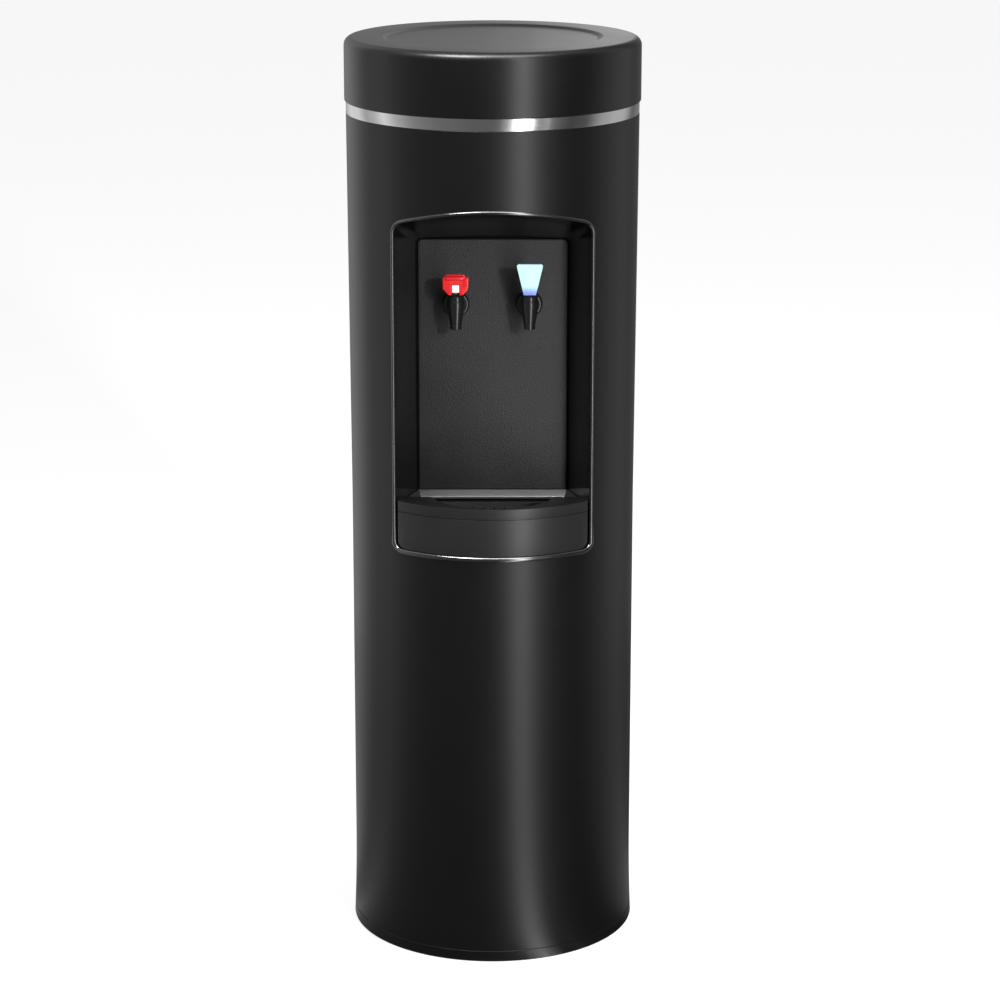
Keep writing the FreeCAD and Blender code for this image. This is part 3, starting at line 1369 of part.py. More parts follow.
def make_plates():
    plate = block("service_blank", "-plate_half", "plate_half", "plate_back", "plate_face", "service_bottom",
                  "service_bottom + service_height")
    hole = "(socket_half + socket_fit)"
    tall = "(socket_height / 2 + socket_fit)"
    socket = block("service_socket", f"-{hole}", hole, "plate_back - 1", "plate_face + 1",
                   f"service_middle - {tall}", f"service_middle + {tall}")
    ports = []
    for sign in ("", "-"):
        ports.append(rod("service_port" + sign, "fitting_radius",
                         (f"({sign}fitting_spread)", "plate_back - 1", "service_middle"),
                         "plate_thickness + 2", "back"))
    keep(cut("service_plate", plate, socket, *ports), "service_plate")
    inlet = turned("inlet_blank", [
        ("0", "-14"),
        ("fitting_radius", "-14"),
        ("fitting_radius", "plate_thickness"),
        ("fitting_radius + 2.5", "plate_thickness"),
        ("fitting_radius + 2.5", "plate_thickness + 4"),
        ("fitting_radius - 1.5", "plate_thickness + 4"),
        ("fitting_radius - 1.5", "plate_thickness + 9"),
        ("0", "plate_thickness + 9"),
    ], ("fitting_spread", "plate_back", "service_middle"), "back")
    inlet_bore = rod("inlet_bore", "tube_radius + 0.05",
                     ("fitting_spread", "plate_back + plate_thickness + 9 - fitting_depth", "service_middle"),
                     "fitting_depth + 1", "back")
    inlet_way = rod("inlet_way", "tube_bore", ("fitting_spread", "plate_back - 15", "service_middle"), "30",
                    "back")
    keep(cut("inlet_fitting", inlet, inlet_bore, inlet_way), "inlet_fitting")
    drain = turned("drain_blank", [
        ("0", "-14"),
        ("fitting_radius", "-14"),
        ("fitting_radius", "plate_thickness"),
        ("fitting_radius + 2.5", "plate_thickness"),
        ("fitting_radius + 2.5", "plate_thickness + 2"),
        ("spout_radius", "plate_thickness + 2"),
        ("spout_radius", "plate_thickness + 11"),
        ("0", "plate_thickness + 11"),
    ], ("-fitting_spread", "plate_back", "service_middle"), "back")
    drain_way = rod("drain_way", "water_bore", ("-fitting_spread", "plate_back - 15", "service_middle"), "40",
                    "back")
    keep(cut("drain_fitting", drain, drain_way), "drain_fitting")
    keep(turned("drain_cap", [
        ("spout_radius + cap_fit", "0"),
        ("cap_radius", "0"),
        ("cap_radius", "10"),
        ("cap_radius - 1", "11"),
        ("0", "11"),
        ("0", "9.3"),
        ("spout_radius + cap_fit", "9.3"),
    ], ("-fitting_spread", "plate_face + 2.3", "service_middle"), "back"), "drain_cap")
    half = "socket_half"
    tall = "socket_height / 2"
    shell = block("power_shell", f"-{half}", half, "plate_face - socket_depth", "plate_face",
                  f"service_middle - {tall}", f"service_middle + {tall}")
    flange = block("power_flange", f"-{half} - 4.2", f"{half} + 4.2", "plate_face", "plate_face + 2",
                   f"service_middle - {tall} - 3.2", f"service_middle + {tall} + 3.2")
    recess = block("power_recess", f"2.3 - {half}", f"{half} - 2.3", "plate_face - socket_depth + 4",
                   "plate_face + 3", f"service_middle - {tall} + 2.3", f"service_middle + {tall} - 2.3")
    blades = []
    for number, (x, z) in enumerate(((-7, -1.5), (0, 2.5), (7, -1.5))):
        blades.append(block(f"blade_{number}", f"{x} - 1", f"{x} + 1", "plate_face - socket_depth + 3",
                            "plate_face - 3", f"service_middle + {z} - 2", f"service_middle + {z} + 2"))
    keep(fuse("power_inlet", cut("power_case", fuse("power_blank", shell, flange), recess), *blades),
         "power_inlet")


def make_controls():
    plate = block("control_blank", "-plate_half", "plate_half", "plate_back", "plate_face", "control_bottom",
                  "control_bottom + control_height")
    middle = "(-rocker_out)"
    half = "rocker_half"
    tall = "rocker_height / 2"
    window = block("rocker_window", f"{middle} - {half} - socket_fit", f"{middle} + {half} + socket_fit",
                   "plate_back - 1", "plate_face + 1", f"control_middle - {tall} - socket_fit",
                   f"control_middle + {tall} + socket_fit")
    shaft_hole = rod("knob_hole", "knob_shaft + 0.05", ("knob_out", "plate_back - 1", "control_middle"),
                     "plate_thickness + 2", "back")
    keep(cut("control_plate", plate, window, shaft_hole), "control_plate")
    knob = turned("knob_turn", [
        ("0", "-8"),
        ("knob_shaft", "-8"),
        ("knob_shaft", "plate_thickness + 0.5"),
        ("knob_radius", "plate_thickness + 0.5"),
        ("knob_radius - 1", "plate_thickness + 9"),
        ("0", "plate_thickness + 9"),
    ], ("knob_out", "plate_back", "control_middle"), "back")
    rib = block("knob_rib", "knob_out - 1.5", "knob_out + 1.5", "plate_back + plate_thickness + 8",
                "plate_back + plate_thickness + 11", "control_middle - knob_radius + 2",
                "control_middle + knob_radius - 2")
    keep(fuse("thermostat_knob", knob, rib), "thermostat_knob")
    case = block("rocker_case_blank", f"{middle} - {half}", f"{middle} + {half}", "plate_back - 14",
                 "plate_face + 1", f"control_middle - {tall}", f"control_middle + {tall}")
    room = f"({half} - rocker_wall)"
    inside = block("rocker_inside", f"{middle} - {room}", f"{middle} + {room}", "plate_back - 10",
                   "plate_face + 2", f"control_middle - {tall} + 1.4", f"control_middle + {tall} - 1.4")
    axle_hole = rod("rocker_axle_hole", "1.05",
                    (f"{middle} - {half} - 1", "plate_face - 3", "control_middle"), f"2 * {half} + 2", "side")
    keep(cut("rocker_case", case, inside, axle_hole), "rocker_case")
    cap = rod("rocker_round", "8.4", (f"{middle} - {room} + 0.4", "plate_face - 3", "control_middle"),
              f"2 * {room} - 0.8", "side")
    trim = block("rocker_trim", f"{middle} - 12", f"{middle} + 12", "plate_face - 9", "plate_face + 2.6",
                 "control_middle - 12", "control_middle + 12")
    axle = rod("rocker_axle", "1", (f"{middle} - {half} + 0.2", "plate_face - 3", "control_middle"),
               f"2 * {half} - 0.4", "side")
    keep(fuse("hot_rocker", common("rocker_cap", cap, trim), axle), "hot_rocker")


def make_all():
    make_cabinet()
    make_base()
    make_top()
    make_liner()
    make_panel()
    make_tray()
    make_faucet("hot", "-")
    make_faucet("cold", "")
    make_faucet_fasteners()
    make_cold_lever()
    make_hot_lever()
    make_shelves()
    make_cold_tank()
    make_float()
    make_hot_tank()
    make_compressor()
    make_condenser()
    make_lines()
    make_tubes()
    make_rear(make_rear_screws())
    make_plates()
    make_controls()


make_all()
doc.recompute()

for item in doc.Objects:
    if "Invalid" in item.State or "Error" in item.State:
        raise RuntimeError("failed feature: " + item.Label)
for item in nodes:
    if item.Shape.isNull() or not item.Shape.isValid():
        raise RuntimeError("bad shape: " + item.Label)

os.makedirs("parts", exist_ok=True)
for item in nodes:
    item.Shape.exportStep("parts/" + item.Label + ".step")
print(len(nodes), "nodes written")
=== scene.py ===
import json
import math

import bmesh
import bpy
from mathutils import Matrix, Vector

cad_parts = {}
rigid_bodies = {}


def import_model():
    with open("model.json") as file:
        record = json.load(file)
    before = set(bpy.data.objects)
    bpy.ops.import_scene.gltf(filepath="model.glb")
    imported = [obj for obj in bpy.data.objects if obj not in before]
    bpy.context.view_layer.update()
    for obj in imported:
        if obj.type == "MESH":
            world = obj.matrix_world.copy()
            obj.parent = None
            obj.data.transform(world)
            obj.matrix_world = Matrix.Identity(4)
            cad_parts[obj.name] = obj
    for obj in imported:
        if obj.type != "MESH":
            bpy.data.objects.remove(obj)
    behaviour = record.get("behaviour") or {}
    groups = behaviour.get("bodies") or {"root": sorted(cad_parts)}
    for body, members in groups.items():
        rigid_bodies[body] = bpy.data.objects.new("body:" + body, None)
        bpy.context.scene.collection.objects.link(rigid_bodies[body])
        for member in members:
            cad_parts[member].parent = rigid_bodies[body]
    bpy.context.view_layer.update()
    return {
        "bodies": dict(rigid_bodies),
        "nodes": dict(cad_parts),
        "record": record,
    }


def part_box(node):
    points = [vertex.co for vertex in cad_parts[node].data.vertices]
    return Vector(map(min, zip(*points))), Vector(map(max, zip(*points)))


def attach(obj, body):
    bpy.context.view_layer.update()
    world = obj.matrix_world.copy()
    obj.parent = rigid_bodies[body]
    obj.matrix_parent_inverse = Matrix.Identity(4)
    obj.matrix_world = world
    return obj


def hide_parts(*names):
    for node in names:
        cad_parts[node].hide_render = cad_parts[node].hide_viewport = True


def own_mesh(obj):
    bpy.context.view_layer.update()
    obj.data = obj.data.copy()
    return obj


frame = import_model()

slotOf = {row["node"]: row["material_slot"] for row in frame["record"]["subparts"]}
print("frame loaded:", len(frame["nodes"]), "nodes")

quarter = math.pi / 2


# Node trees

class Value:
    # One output of a node. Sums written on it add Math nodes.
    def __init__(self, sheet, socket):
        self.sheet = sheet
        self.socket = socket

    def sum(self, operation, first, second):
        return self.sheet.node("ShaderNodeMath", {"operation": operation}, {0: first, 1: second})

    def __add__(self, other):
        return self.sum("ADD", self, other)

    def __radd__(self, other):
        return self.sum("ADD", other, self)

    def __sub__(self, other):
        return self.sum("SUBTRACT", self, other)

    def __rsub__(self, other):
        return self.sum("SUBTRACT", other, self)

    def __mul__(self, other):
        return self.sum("MULTIPLY", self, other)

    def __rmul__(self, other):
        return self.sum("MULTIPLY", other, self)


class Sheet:
    # A node tree and the one way nodes are added to it.
    def __init__(self, tree):
        self.tree = tree

    def feed(self, socket, given):
        if isinstance(given, Value):
            self.tree.links.new(given.socket, socket)
        else:
            socket.default_value = given

    def node(self, kind, settings=None, inputs=None, output=0):
        made = self.tree.nodes.new(kind)
        for key, setting in (settings or {}).items():
            setattr(made, key, setting)
        for key, given in (inputs or {}).items():
            self.feed(made.inputs[key], given)
        return Value(self, made.outputs[output])


class Finish(Sheet):
    # A material with one Principled shader, whose constants are set on its own sockets.
    labels = {"colour": "Base Color", "roughness": "Roughness", "metallic": "Metallic", "ior": "IOR",
              "level": "Specular IOR Level", "coat": "Coat Weight", "coatRoughness": "Coat Roughness",
              "soft": "Subsurface Weight", "softReach": "Subsurface Scale", "normal": "Normal",
              "sheen": "Sheen Weight", "glow": "Emission Color", "glowStrength": "Emission Strength"}

    def __init__(self, name, **constants):
        self.material = bpy.data.materials.new(name)
        self.material.use_nodes = True
        super().__init__(self.material.node_tree)
        self.shader = self.tree.nodes["Principled BSDF"]
        for key, amount in constants.items():
            self.shader.inputs[self.labels[key]].default_value = amount

    def drive(self, key, given):
        self.feed(self.shader.inputs[self.labels[key]], given)

    def spots(self, stretch=(1, 1, 1)):
        where = self.node("ShaderNodeTexCoord", output="Object")
        if stretch == (1, 1, 1):
            return where
        return self.node("ShaderNodeMapping", None, {"Vector": where, "Scale": stretch})

    def grain(self, size, detail=2.0, stretch=(1, 1, 1)):
        # Noise from 0 to 1 whose lumps are about a size across, in metres.
        inputs = {"Vector": self.spots(stretch), "Scale": 1 / size, "Detail": detail, "Roughness": 0.5}
        return self.node("ShaderNodeTexNoise", None, inputs)

    def cells(self, size, output="Distance"):
        inputs = {"Vector": self.spots(), "Scale": 1 / size}
        return self.node("ShaderNodeTexVoronoi", {"feature": "F1"}, inputs, output)

    def along(self, axis):
        return self.node("ShaderNodeSeparateXYZ", None, {0: self.spots()}, "XYZ".index(axis))

    def step(self, given, low, high):
        # 0 below low, 1 above high and smooth between.
        settings = {"interpolation_type": "SMOOTHSTEP"}
        return self.node("ShaderNodeMapRange", settings, {"Value": given, "From Min": low, "From Max": high})

    def tint(self, first, second, share):
        inputs = {0: share, 6: (*first, 1), 7: (*second, 1)}
        return self.node("ShaderNodeMix", {"data_type": "RGBA"}, inputs, 2)

    def relief(self, height, depth):
        return self.node("ShaderNodeBump", None, {"Height": height, "Distance": depth, "Strength": 1.0})


class Shaper(Sheet):
    # A geometry tree with named inputs. It ends in Realize Instances and Set Material.
    kinds = {"count": "NodeSocketInt", "size": "NodeSocketFloat", "finish": "NodeSocketMaterial",
             "shift": "NodeSocketVector"}

    def __init__(self, name, **inputs):
        super().__init__(bpy.data.node_groups.new(name, "GeometryNodeTree"))
        face = self.tree.interface
        face.new_socket("Geometry", in_out="OUTPUT", socket_type="NodeSocketGeometry")
        face.new_socket("Geometry", in_out="INPUT", socket_type="NodeSocketGeometry")
        self.sockets = {}
        for key, kind in {**inputs, "finish": "finish"}.items():
            socket = face.new_socket(key, in_out="INPUT", socket_type=self.kinds[kind])
            self.sockets[key] = socket.identifier
        self.entry = self.tree.nodes.new("NodeGroupInput")
        self.exit = self.tree.nodes.new("NodeGroupOutput")

    def given(self, key):
        return Value(self, self.entry.outputs[key])

    def end(self, geometry):
        smooth = self.node("GeometryNodeSetShadeSmooth", None, {"Geometry": geometry})
        real = self.node("GeometryNodeRealizeInstances", None, {"Geometry": smooth})
        inputs = {"Geometry": real, "Material": self.given("finish")}
        done = self.node("GeometryNodeSetMaterial", None, inputs)
        self.feed(self.exit.inputs[0], done)
        return self


# Mesh helpers

def newObject(name, vertices, faces, edges=()):
    mesh = bpy.data.meshes.new(name)
    mesh.from_pydata([tuple(point) for point in vertices], list(edges), list(faces))
    made = bpy.data.objects.new(name, mesh)
    bpy.context.scene.collection.objects.link(made)
    return made


def outward(obj, merge=1e-6):
    # Merges doubles and turns the faces of a closed shell outwards.
    shape = bmesh.new()
    shape.from_mesh(obj.data)
    bmesh.ops.remove_doubles(shape, verts=shape.verts, dist=merge)
    bmesh.ops.dissolve_degenerate(shape, edges=shape.edges, dist=merge)
    bmesh.ops.recalc_face_normals(shape, faces=shape.faces)
    shape.to_mesh(obj.data)
    shape.free()
    return obj


def applied(obj):
    # Turns the evaluated object into a plain mesh and takes its modifiers off.
    bpy.context.view_layer.update()
    graph = bpy.context.evaluated_depsgraph_get()
    finished = bpy.data.meshes.new_from_object(obj.evaluated_get(graph), depsgraph=graph)
    obj.modifiers.clear()
    worn = obj.data
    obj.data = finished
    bpy.data.meshes.remove(worn)
    return obj


def shapedBy(obj, shaper, **given):
    modifier = obj.modifiers.new(shaper.tree.name, "NODES")
    modifier.node_group = shaper.tree
    for key, amount in given.items():
        modifier[shaper.sockets[key]] = amount
    return applied(obj)


def carved(obj, *tools, operation="DIFFERENCE"):
    for tool in tools:
        modifier = obj.modifiers.new("carve", "BOOLEAN")
        modifier.operation = operation
        modifier.solver = "EXACT"
        modifier.object = tool
        applied(obj)
        bpy.data.objects.remove(tool)
    return obj


def eased(obj, width, segments=2, angle=30):
    # Rounds every edge sharper than an angle.
    modifier = obj.modifiers.new("ease", "BEVEL")
    modifier.width = width
    modifier.segments = segments
    modifier.limit_method = "ANGLE"
    modifier.angle_limit = math.radians(angle)
    modifier.harden_normals = False
    modifier.miter_outer = "MITER_ARC"
    return applied(obj)


def shaded(obj, angle=35):
    obj.data.shade_smooth()
    obj.data.set_sharp_from_angle(angle=math.radians(angle))
    return obj


def settle(obj, body, slot, *nodes, finish=None):
    # A finished piece: its material, the body that it moves with and the nodes it stands for.
    obj.data.materials.clear()
    obj.data.materials.append(finishes[finish or slot])
    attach(obj, body)
    if nodes:
        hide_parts(*nodes)
    return obj


def filleted(points, steps=5, closed=True):
    # Corners (x, y) stay sharp and corners (x, y, radius) are rounded.
    rounded = []
    for index, point in enumerate(points):
        here = Vector(point[:2])
        radius = point[2] if len(point) == 3 else 0
        ends = not closed and index in (0, len(points) - 1)
        if radius == 0 or ends:
            rounded.append(tuple(here))
            continue
        into = (Vector(points[index - 1][:2]) - here).normalized()
        out = (Vector(points[(index + 1) % len(points)][:2]) - here).normalized()
        half = into.angle(out) / 2
        reach = radius / math.tan(half)
        centre = here + (into + out).normalized() * (radius / math.sin(half))
        start = here + into * reach - centre
        swing = start.angle_signed(here + out * reach - centre)
        for step in range(steps + 1):
            turn = Matrix.Rotation(-swing * step / steps, 2)
            rounded.append(tuple(centre + turn @ start))
    return rounded


def arcPoints(centre, radius, start, end, steps):
    points = []
    for step in range(steps + 1):
        angle = start + (end - start) * step / steps
        points.append((centre[0] + radius * math.cos(angle), centre[1] + radius * math.sin(angle)))
    return points


def lofted(name, loops, closedWay=False):
    # Skins over loops of equally many points, with flat caps unless the way closes on itself.
    count = len(loops[0])
    vertices = [point for loop in loops for point in loop]
    faces = []
    last = len(loops) if closedWay else len(loops) - 1
    for level in range(last):
        here = level * count
        after = (level + 1) % len(loops) * count
        for index in range(count):
            beside = (index + 1) % count
            faces.append((here + index, here + beside, after + beside, after + index))
    if not closedWay:
        faces.append(tuple(range(count)))
        faces.append(tuple(len(vertices) - 1 - index for index in range(count)))
    return outward(newObject(name, vertices, faces))


def raised(name, outline, bottom, top):
    # An outline in plan, raised between two heights.
    return lofted(name, [[(x, y, level) for x, y in outline] for level in (bottom, top)])


def standing(name, outline, front, back):
    # An upright outline of (x, z) points, from a front plane to a back one.
    return lofted(name, [[(x, level, z) for x, z in outline] for level in (front, back)])


def between(name, outline, near, far):
    # An outline of (y, z) points, from one x to another.
    return lofted(name, [[(level, y, z) for y, z in outline] for level in (near, far)])


def brick(name, low, high):
    outline = [(low[0], low[1]), (high[0], low[1]), (high[0], high[1]), (low[0], high[1])]
    return raised(name, outline, low[2], high[2])


def tipped(obj, at=(0, 0, 0), turn=None):
    # Moves a mesh made about the origin to its place. "back" and "front" lay its axis along Y, "side" along X.
    turns = {None: (0, "X"), "back": (-quarter, "X"), "front": (quarter, "X"), "side": (quarter, "Y")}
    angle, axis = turns[turn]
    obj.data.transform(Matrix.Translation(at) @ Matrix.Rotation(angle, 4, axis))
    return obj


def joined(name, *parts):
    # Separate closed shells of one piece in one mesh.
    shape = bmesh.new()
    for part in parts:
        shape.from_mesh(part.data)
        bpy.data.objects.remove(part)
    made = newObject(name, [], [])
    shape.to_mesh(made.data)
    shape.free()
    return made


def softened(node, name, ease):
    # A cleaned copy of a CAD node's mesh with eased edges.
    made = newObject(name, [], [])
    made.data = frame["nodes"][node].data.copy()
    shape = bmesh.new()
    shape.from_mesh(made.data)
    bmesh.ops.remove_doubles(shape, verts=shape.verts, dist=2e-6)
    bmesh.ops.dissolve_limit(shape, angle_limit=math.radians(1), verts=shape.verts, edges=shape.edges)
    shape.to_mesh(made.data)
    shape.free()
    return shaded(eased(made, ease))


# Geometry trees

def turningTree():
    # Turns a profile about the Z axis. The profile is drawn from a guide circle outwards and downwards.
    sheet = Shaper("turning", segments="count", guide="size")
    profile = sheet.node("GeometryNodeMeshToCurve", None, {"Mesh": sheet.given("Geometry")})
    inputs = {"Resolution": sheet.given("segments"), "Radius": sheet.given("guide")}
    ring = sheet.node("GeometryNodeCurvePrimitiveCircle", {"mode": "RADIUS"}, inputs)
    skin = sheet.node("GeometryNodeCurveToMesh", None, {"Curve": ring, "Profile Curve": profile})
    return sheet.end(sheet.node("GeometryNodeMergeByDistance", None, {"Geometry": skin, "Distance": 1e-6}))


def rimTree():
    # A round bead along an edge loop, as thick at each point as its girth says.
    sheet = Shaper("rim", radius="size", sides="count")
    path = sheet.node("GeometryNodeMeshToCurve", None, {"Mesh": sheet.given("Geometry")})
    girth = sheet.node("GeometryNodeInputNamedAttribute", {"data_type": "FLOAT"}, {"Name": "girth"})
    inputs = {"Resolution": sheet.given("sides"), "Radius": sheet.given("radius")}
    ring = sheet.node("GeometryNodeCurvePrimitiveCircle", {"mode": "RADIUS"}, inputs)
    inputs = {"Curve": path, "Profile Curve": ring, "Scale": girth}
    return sheet.end(sheet.node("GeometryNodeCurveToMesh", None, inputs))


def helixTree():
    # A wound wire standing on the Z axis.
    sheet = Shaper("winding", turns="size", coil="size", rise="size", wire="size")
    inputs = {"Resolution": 20, "Rotations": sheet.given("turns"), "Start Radius": sheet.given("coil"),
              "End Radius": sheet.given("coil"), "Height": sheet.given("rise")}
    path = sheet.node("GeometryNodeCurveSpiral", None, inputs)
    inputs = {"Resolution": 8, "Radius": sheet.given("wire")}
    ring = sheet.node("GeometryNodeCurvePrimitiveCircle", {"mode": "RADIUS"}, inputs)
    inputs = {"Curve": path, "Profile Curve": ring, "Fill Caps": True}
    return sheet.end(sheet.node("GeometryNodeCurveToMesh", None, inputs))


def slotTree():
    # Cuts a row of equal slots through the object: a cutter box on each point of a line.
    sheet = Shaper("slots", count="count", start="shift", pitch="shift", cutter="shift")
    inputs = {"Count": sheet.given("count"), "Start Location": sheet.given("start"),
              "Offset": sheet.given("pitch")}
    row = sheet.node("GeometryNodeMeshLine", {"mode": "OFFSET"}, inputs)
    box = sheet.node("GeometryNodeMeshCube", None, {"Size": sheet.given("cutter")})
    cutters = sheet.node("GeometryNodeInstanceOnPoints", None, {"Points": row, "Instance": box})
    real = sheet.node("GeometryNodeRealizeInstances", None, {"Geometry": cutters})
    inputs = {"Mesh 1": sheet.given("Geometry"), "Mesh 2": real}
    settings = {"operation": "DIFFERENCE", "solver": "EXACT"}
    return sheet.end(sheet.node("GeometryNodeMeshBoolean", settings, inputs))


turning = turningTree()
rim = rimTree()
winding = helixTree()
slots = slotTree()


def turned(name, profile, slot, segments=96, closed=True, at=(0, 0, 0), turn=None):
    # A turned form from (radius, height) points; an open profile starts and ends on the axis.
    guide = max(point[0] for point in profile)
    count = len(profile)
    edges = [(index, index + 1) for index in range(count - 1)]
    if closed:
        edges.append((count - 1, 0))
    made = newObject(name, [(radius - guide, -height, 0) for radius, height in profile], [], edges)
    shapedBy(made, turning, segments=segments, guide=guide, finish=finishes[slot])
    outward(made)
    return shaded(tipped(made, at, turn))


# Finishes

def mouldedPlastic(name, colour, roughness, grainSize=0.0012, grainDepth=0.00001, mottle=0.06, shade=0.15,
                   speckle=0.0, **more):
    # Injection-moulded plastic: an orange-peel skin, patchy gloss and a slight drift in colour.
    finish = Finish(name, **more)
    peel = finish.grain(grainSize, 3.0)
    cloud = finish.grain(0.05, 2.0)
    fine = finish.grain(grainSize * 0.35, 1.0)
    dark = [tone * (1 - shade) for tone in colour]
    pale = [tone * (1 + shade) for tone in colour]
    finish.drive("colour", finish.tint(dark, pale, cloud + (peel - 0.5) * speckle * 4))
    finish.drive("roughness", (cloud - 0.5) * mottle + (fine - 0.5) * mottle + roughness)
    finish.drive("normal", finish.relief(peel, grainDepth))
    return finish.material


def drawnMetal(name, colour, roughness, stretch=(1, 1, 40), lineSize=0.02, lineDepth=0.000002, **more):
    # Bright metal with the fine lines that rolling or turning leaves.
    finish = Finish(name, metallic=1.0, **more)
    lines = finish.grain(lineSize, 4.0, stretch)
    cloud = finish.grain(0.03)
    finish.drive("colour", finish.tint([tone * 0.92 for tone in colour], colour, cloud))
    finish.drive("roughness", (lines - 0.5) * 0.12 + roughness)
    finish.drive("normal", finish.relief(lines, lineDepth))
    return finish.material


def galvanisedSheet(name, colour):
    finish = Finish(name, metallic=0.85)
    spangle = finish.cells(0.009, output="Color")
    tone = finish.node("ShaderNodeSeparateXYZ", None, {0: spangle})
    finish.drive("colour", finish.tint([part * 0.8 for part in colour], [part * 1.25 for part in colour], tone))
    finish.drive("roughness", tone * 0.2 + 0.35)
    finish.drive("normal", finish.relief(finish.grain(0.002), 0.000004))
    return finish.material


def stoveEnamel(name, colour):
    finish = Finish(name, coat=0.3, coatRoughness=0.25)
    ripple = finish.grain(0.004, 2.0)
    finish.drive("colour", finish.tint(colour, [part * 1.6 for part in colour], finish.grain(0.04)))
    finish.drive("roughness", ripple * 0.15 + 0.3)
    finish.drive("normal", finish.relief(ripple, 0.00004))
    return finish.material


def beadFoam(name, colour):
    # Expanded foam: packed beads with dark joints.
    finish = Finish(name, soft=0.1, softReach=0.004)
    bead = finish.cells(0.0035)
    joint = finish.step(bead, 0.25, 0.75)
    finish.drive("colour", finish.tint(colour, [part * 0.72 for part in colour], joint))
    finish.drive("roughness", joint * 0.1 + 0.75)
    finish.drive("normal", finish.relief(1 - bead, 0.0004))
    return finish.material


def softRubber(name, colour, roughness=0.7, **more):
    finish = Finish(name, sheen=0.1, **more)
    dust = finish.grain(0.01, 4.0)
    finish.drive("colour", finish.tint(colour, [part * 1.5 + 0.01 for part in colour], dust))
    finish.drive("roughness", dust * 0.15 + roughness)
    finish.drive("normal", finish.relief(finish.grain(0.0008), 0.00002))
    return finish.material


def coldLeverPlastic(name, look):
    # Pale plastic that turns bluer towards the foot, where the wall is thicker.
    finish = Finish(name, soft=0.15, softReach=0.003, coat=0.2, coatRoughness=0.1)
    low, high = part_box("cold_lever")
    foot = finish.step(finish.along("Z"), low.z + look["footFrom"], low.z + look["footTo"])
    finish.drive("colour", finish.tint(look["foot"], look["face"], foot))
    finish.drive("roughness", finish.grain(0.004) * 0.08 + look["roughness"])
    finish.drive("normal", finish.relief(finish.grain(0.002), 0.00001))
    return finish.material


plastics = {
    "cabinet_plastic": dict(colour=(0.0016, 0.0016, 0.0018), roughness=0.35, grainSize=0.0016,
                            grainDepth=0.000014, mottle=0.05, level=0.42),
    "collar_plastic": dict(colour=(0.006, 0.006, 0.0065), roughness=0.42),
    "lid_plastic": dict(colour=(0.0016, 0.0016, 0.0018), roughness=0.31, grainSize=0.0016,
                        grainDepth=0.000012, mottle=0.05, level=0.45),
    "liner_plastic": dict(colour=(0.003, 0.003, 0.0034), roughness=0.17, grainDepth=0.000004, level=0.5),
    "panel_plastic": dict(colour=(0.0082, 0.0082, 0.0086), roughness=0.48, grainSize=0.0019,
                          grainDepth=0.0007, mottle=0.2, shade=0.35, speckle=0.6),
    "tray_plastic": dict(colour=(0.0085, 0.0085, 0.009), roughness=0.33, grainDepth=0.000012),
    "ledge_satin": dict(colour=(0.010, 0.010, 0.0105), roughness=0.3, grainDepth=0.000006, ior=2.4),
    "bead_gloss": dict(colour=(0.004, 0.004, 0.0042), roughness=0.16, grainDepth=0.000003, ior=2.3),
    "grille_plastic": dict(colour=(0.008, 0.008, 0.0085), roughness=0.45),
    "faucet_plastic": dict(colour=(0.005, 0.005, 0.0055), roughness=0.2, grainDepth=0.000005, coat=0.3),
    "hot_lever_plastic": dict(colour=(0.36, 0.006, 0.008), roughness=0.24, grainDepth=0.000006, coat=0.3,
                              soft=0.05, softReach=0.002),
    "lock_plastic": dict(colour=(0.62, 0.46, 0.47), roughness=0.3, grainDepth=0.000006),
    "rocker_plastic": dict(colour=(0.5, 0.012, 0.012), roughness=0.28),
    "switch_plastic": dict(colour=(0.012, 0.012, 0.0125), roughness=0.42),
    "rear_plastic": dict(colour=(0.008, 0.008, 0.0085), roughness=0.48, grainDepth=0.00003),
    "fitting_plastic": dict(colour=(0.66, 0.66, 0.63), roughness=0.45, soft=0.1, softReach=0.002),
    "tube_plastic": dict(colour=(0.72, 0.74, 0.72), roughness=0.35, soft=0.3, softReach=0.004),
}
coldLever = {"face": (0.30, 0.46, 0.48), "foot": (0.12, 0.16, 0.40), "footFrom": 0.001, "footTo": 0.011,
             "roughness": 0.28}


def makeFinishes():
    made = {}
    for name, look in plastics.items():
        made[name] = mouldedPlastic(name, **look)
    made["cold_lever_plastic"] = coldLeverPlastic("cold_lever_plastic", coldLever)
    made["band_steel"] = drawnMetal("band_steel", (0.74, 0.74, 0.75), 0.13, lineSize=0.04)
    made["pin_steel"] = drawnMetal("pin_steel", (0.62, 0.62, 0.62), 0.28)
    made["tank_steel"] = drawnMetal("tank_steel", (0.66, 0.66, 0.65), 0.3, stretch=(1, 1, 12))
    made["copper"] = drawnMetal("copper", (0.78, 0.38, 0.24), 0.3, stretch=(1, 1, 1), lineSize=0.01)
    made["sheet_steel"] = galvanisedSheet("sheet_steel", (0.42, 0.43, 0.44))
    made["black_metal"] = stoveEnamel("black_metal", (0.010, 0.010, 0.010))
    made["foam"] = beadFoam("foam", (0.82, 0.81, 0.76))
    made["silicone"] = softRubber("silicone", (0.62, 0.62, 0.58), 0.5, soft=0.3, softReach=0.002)
    made["foot_rubber"] = softRubber("foot_rubber", (0.012, 0.012, 0.012))
    return made


finishes = makeFinishes()
print("finishes made:", len(finishes))


# Camera, floor and light

view = {"distance": 3.3, "height": 1.374, "pitch": 14.37, "lens": 110.4, "shift": (0.0073, -0.036)}


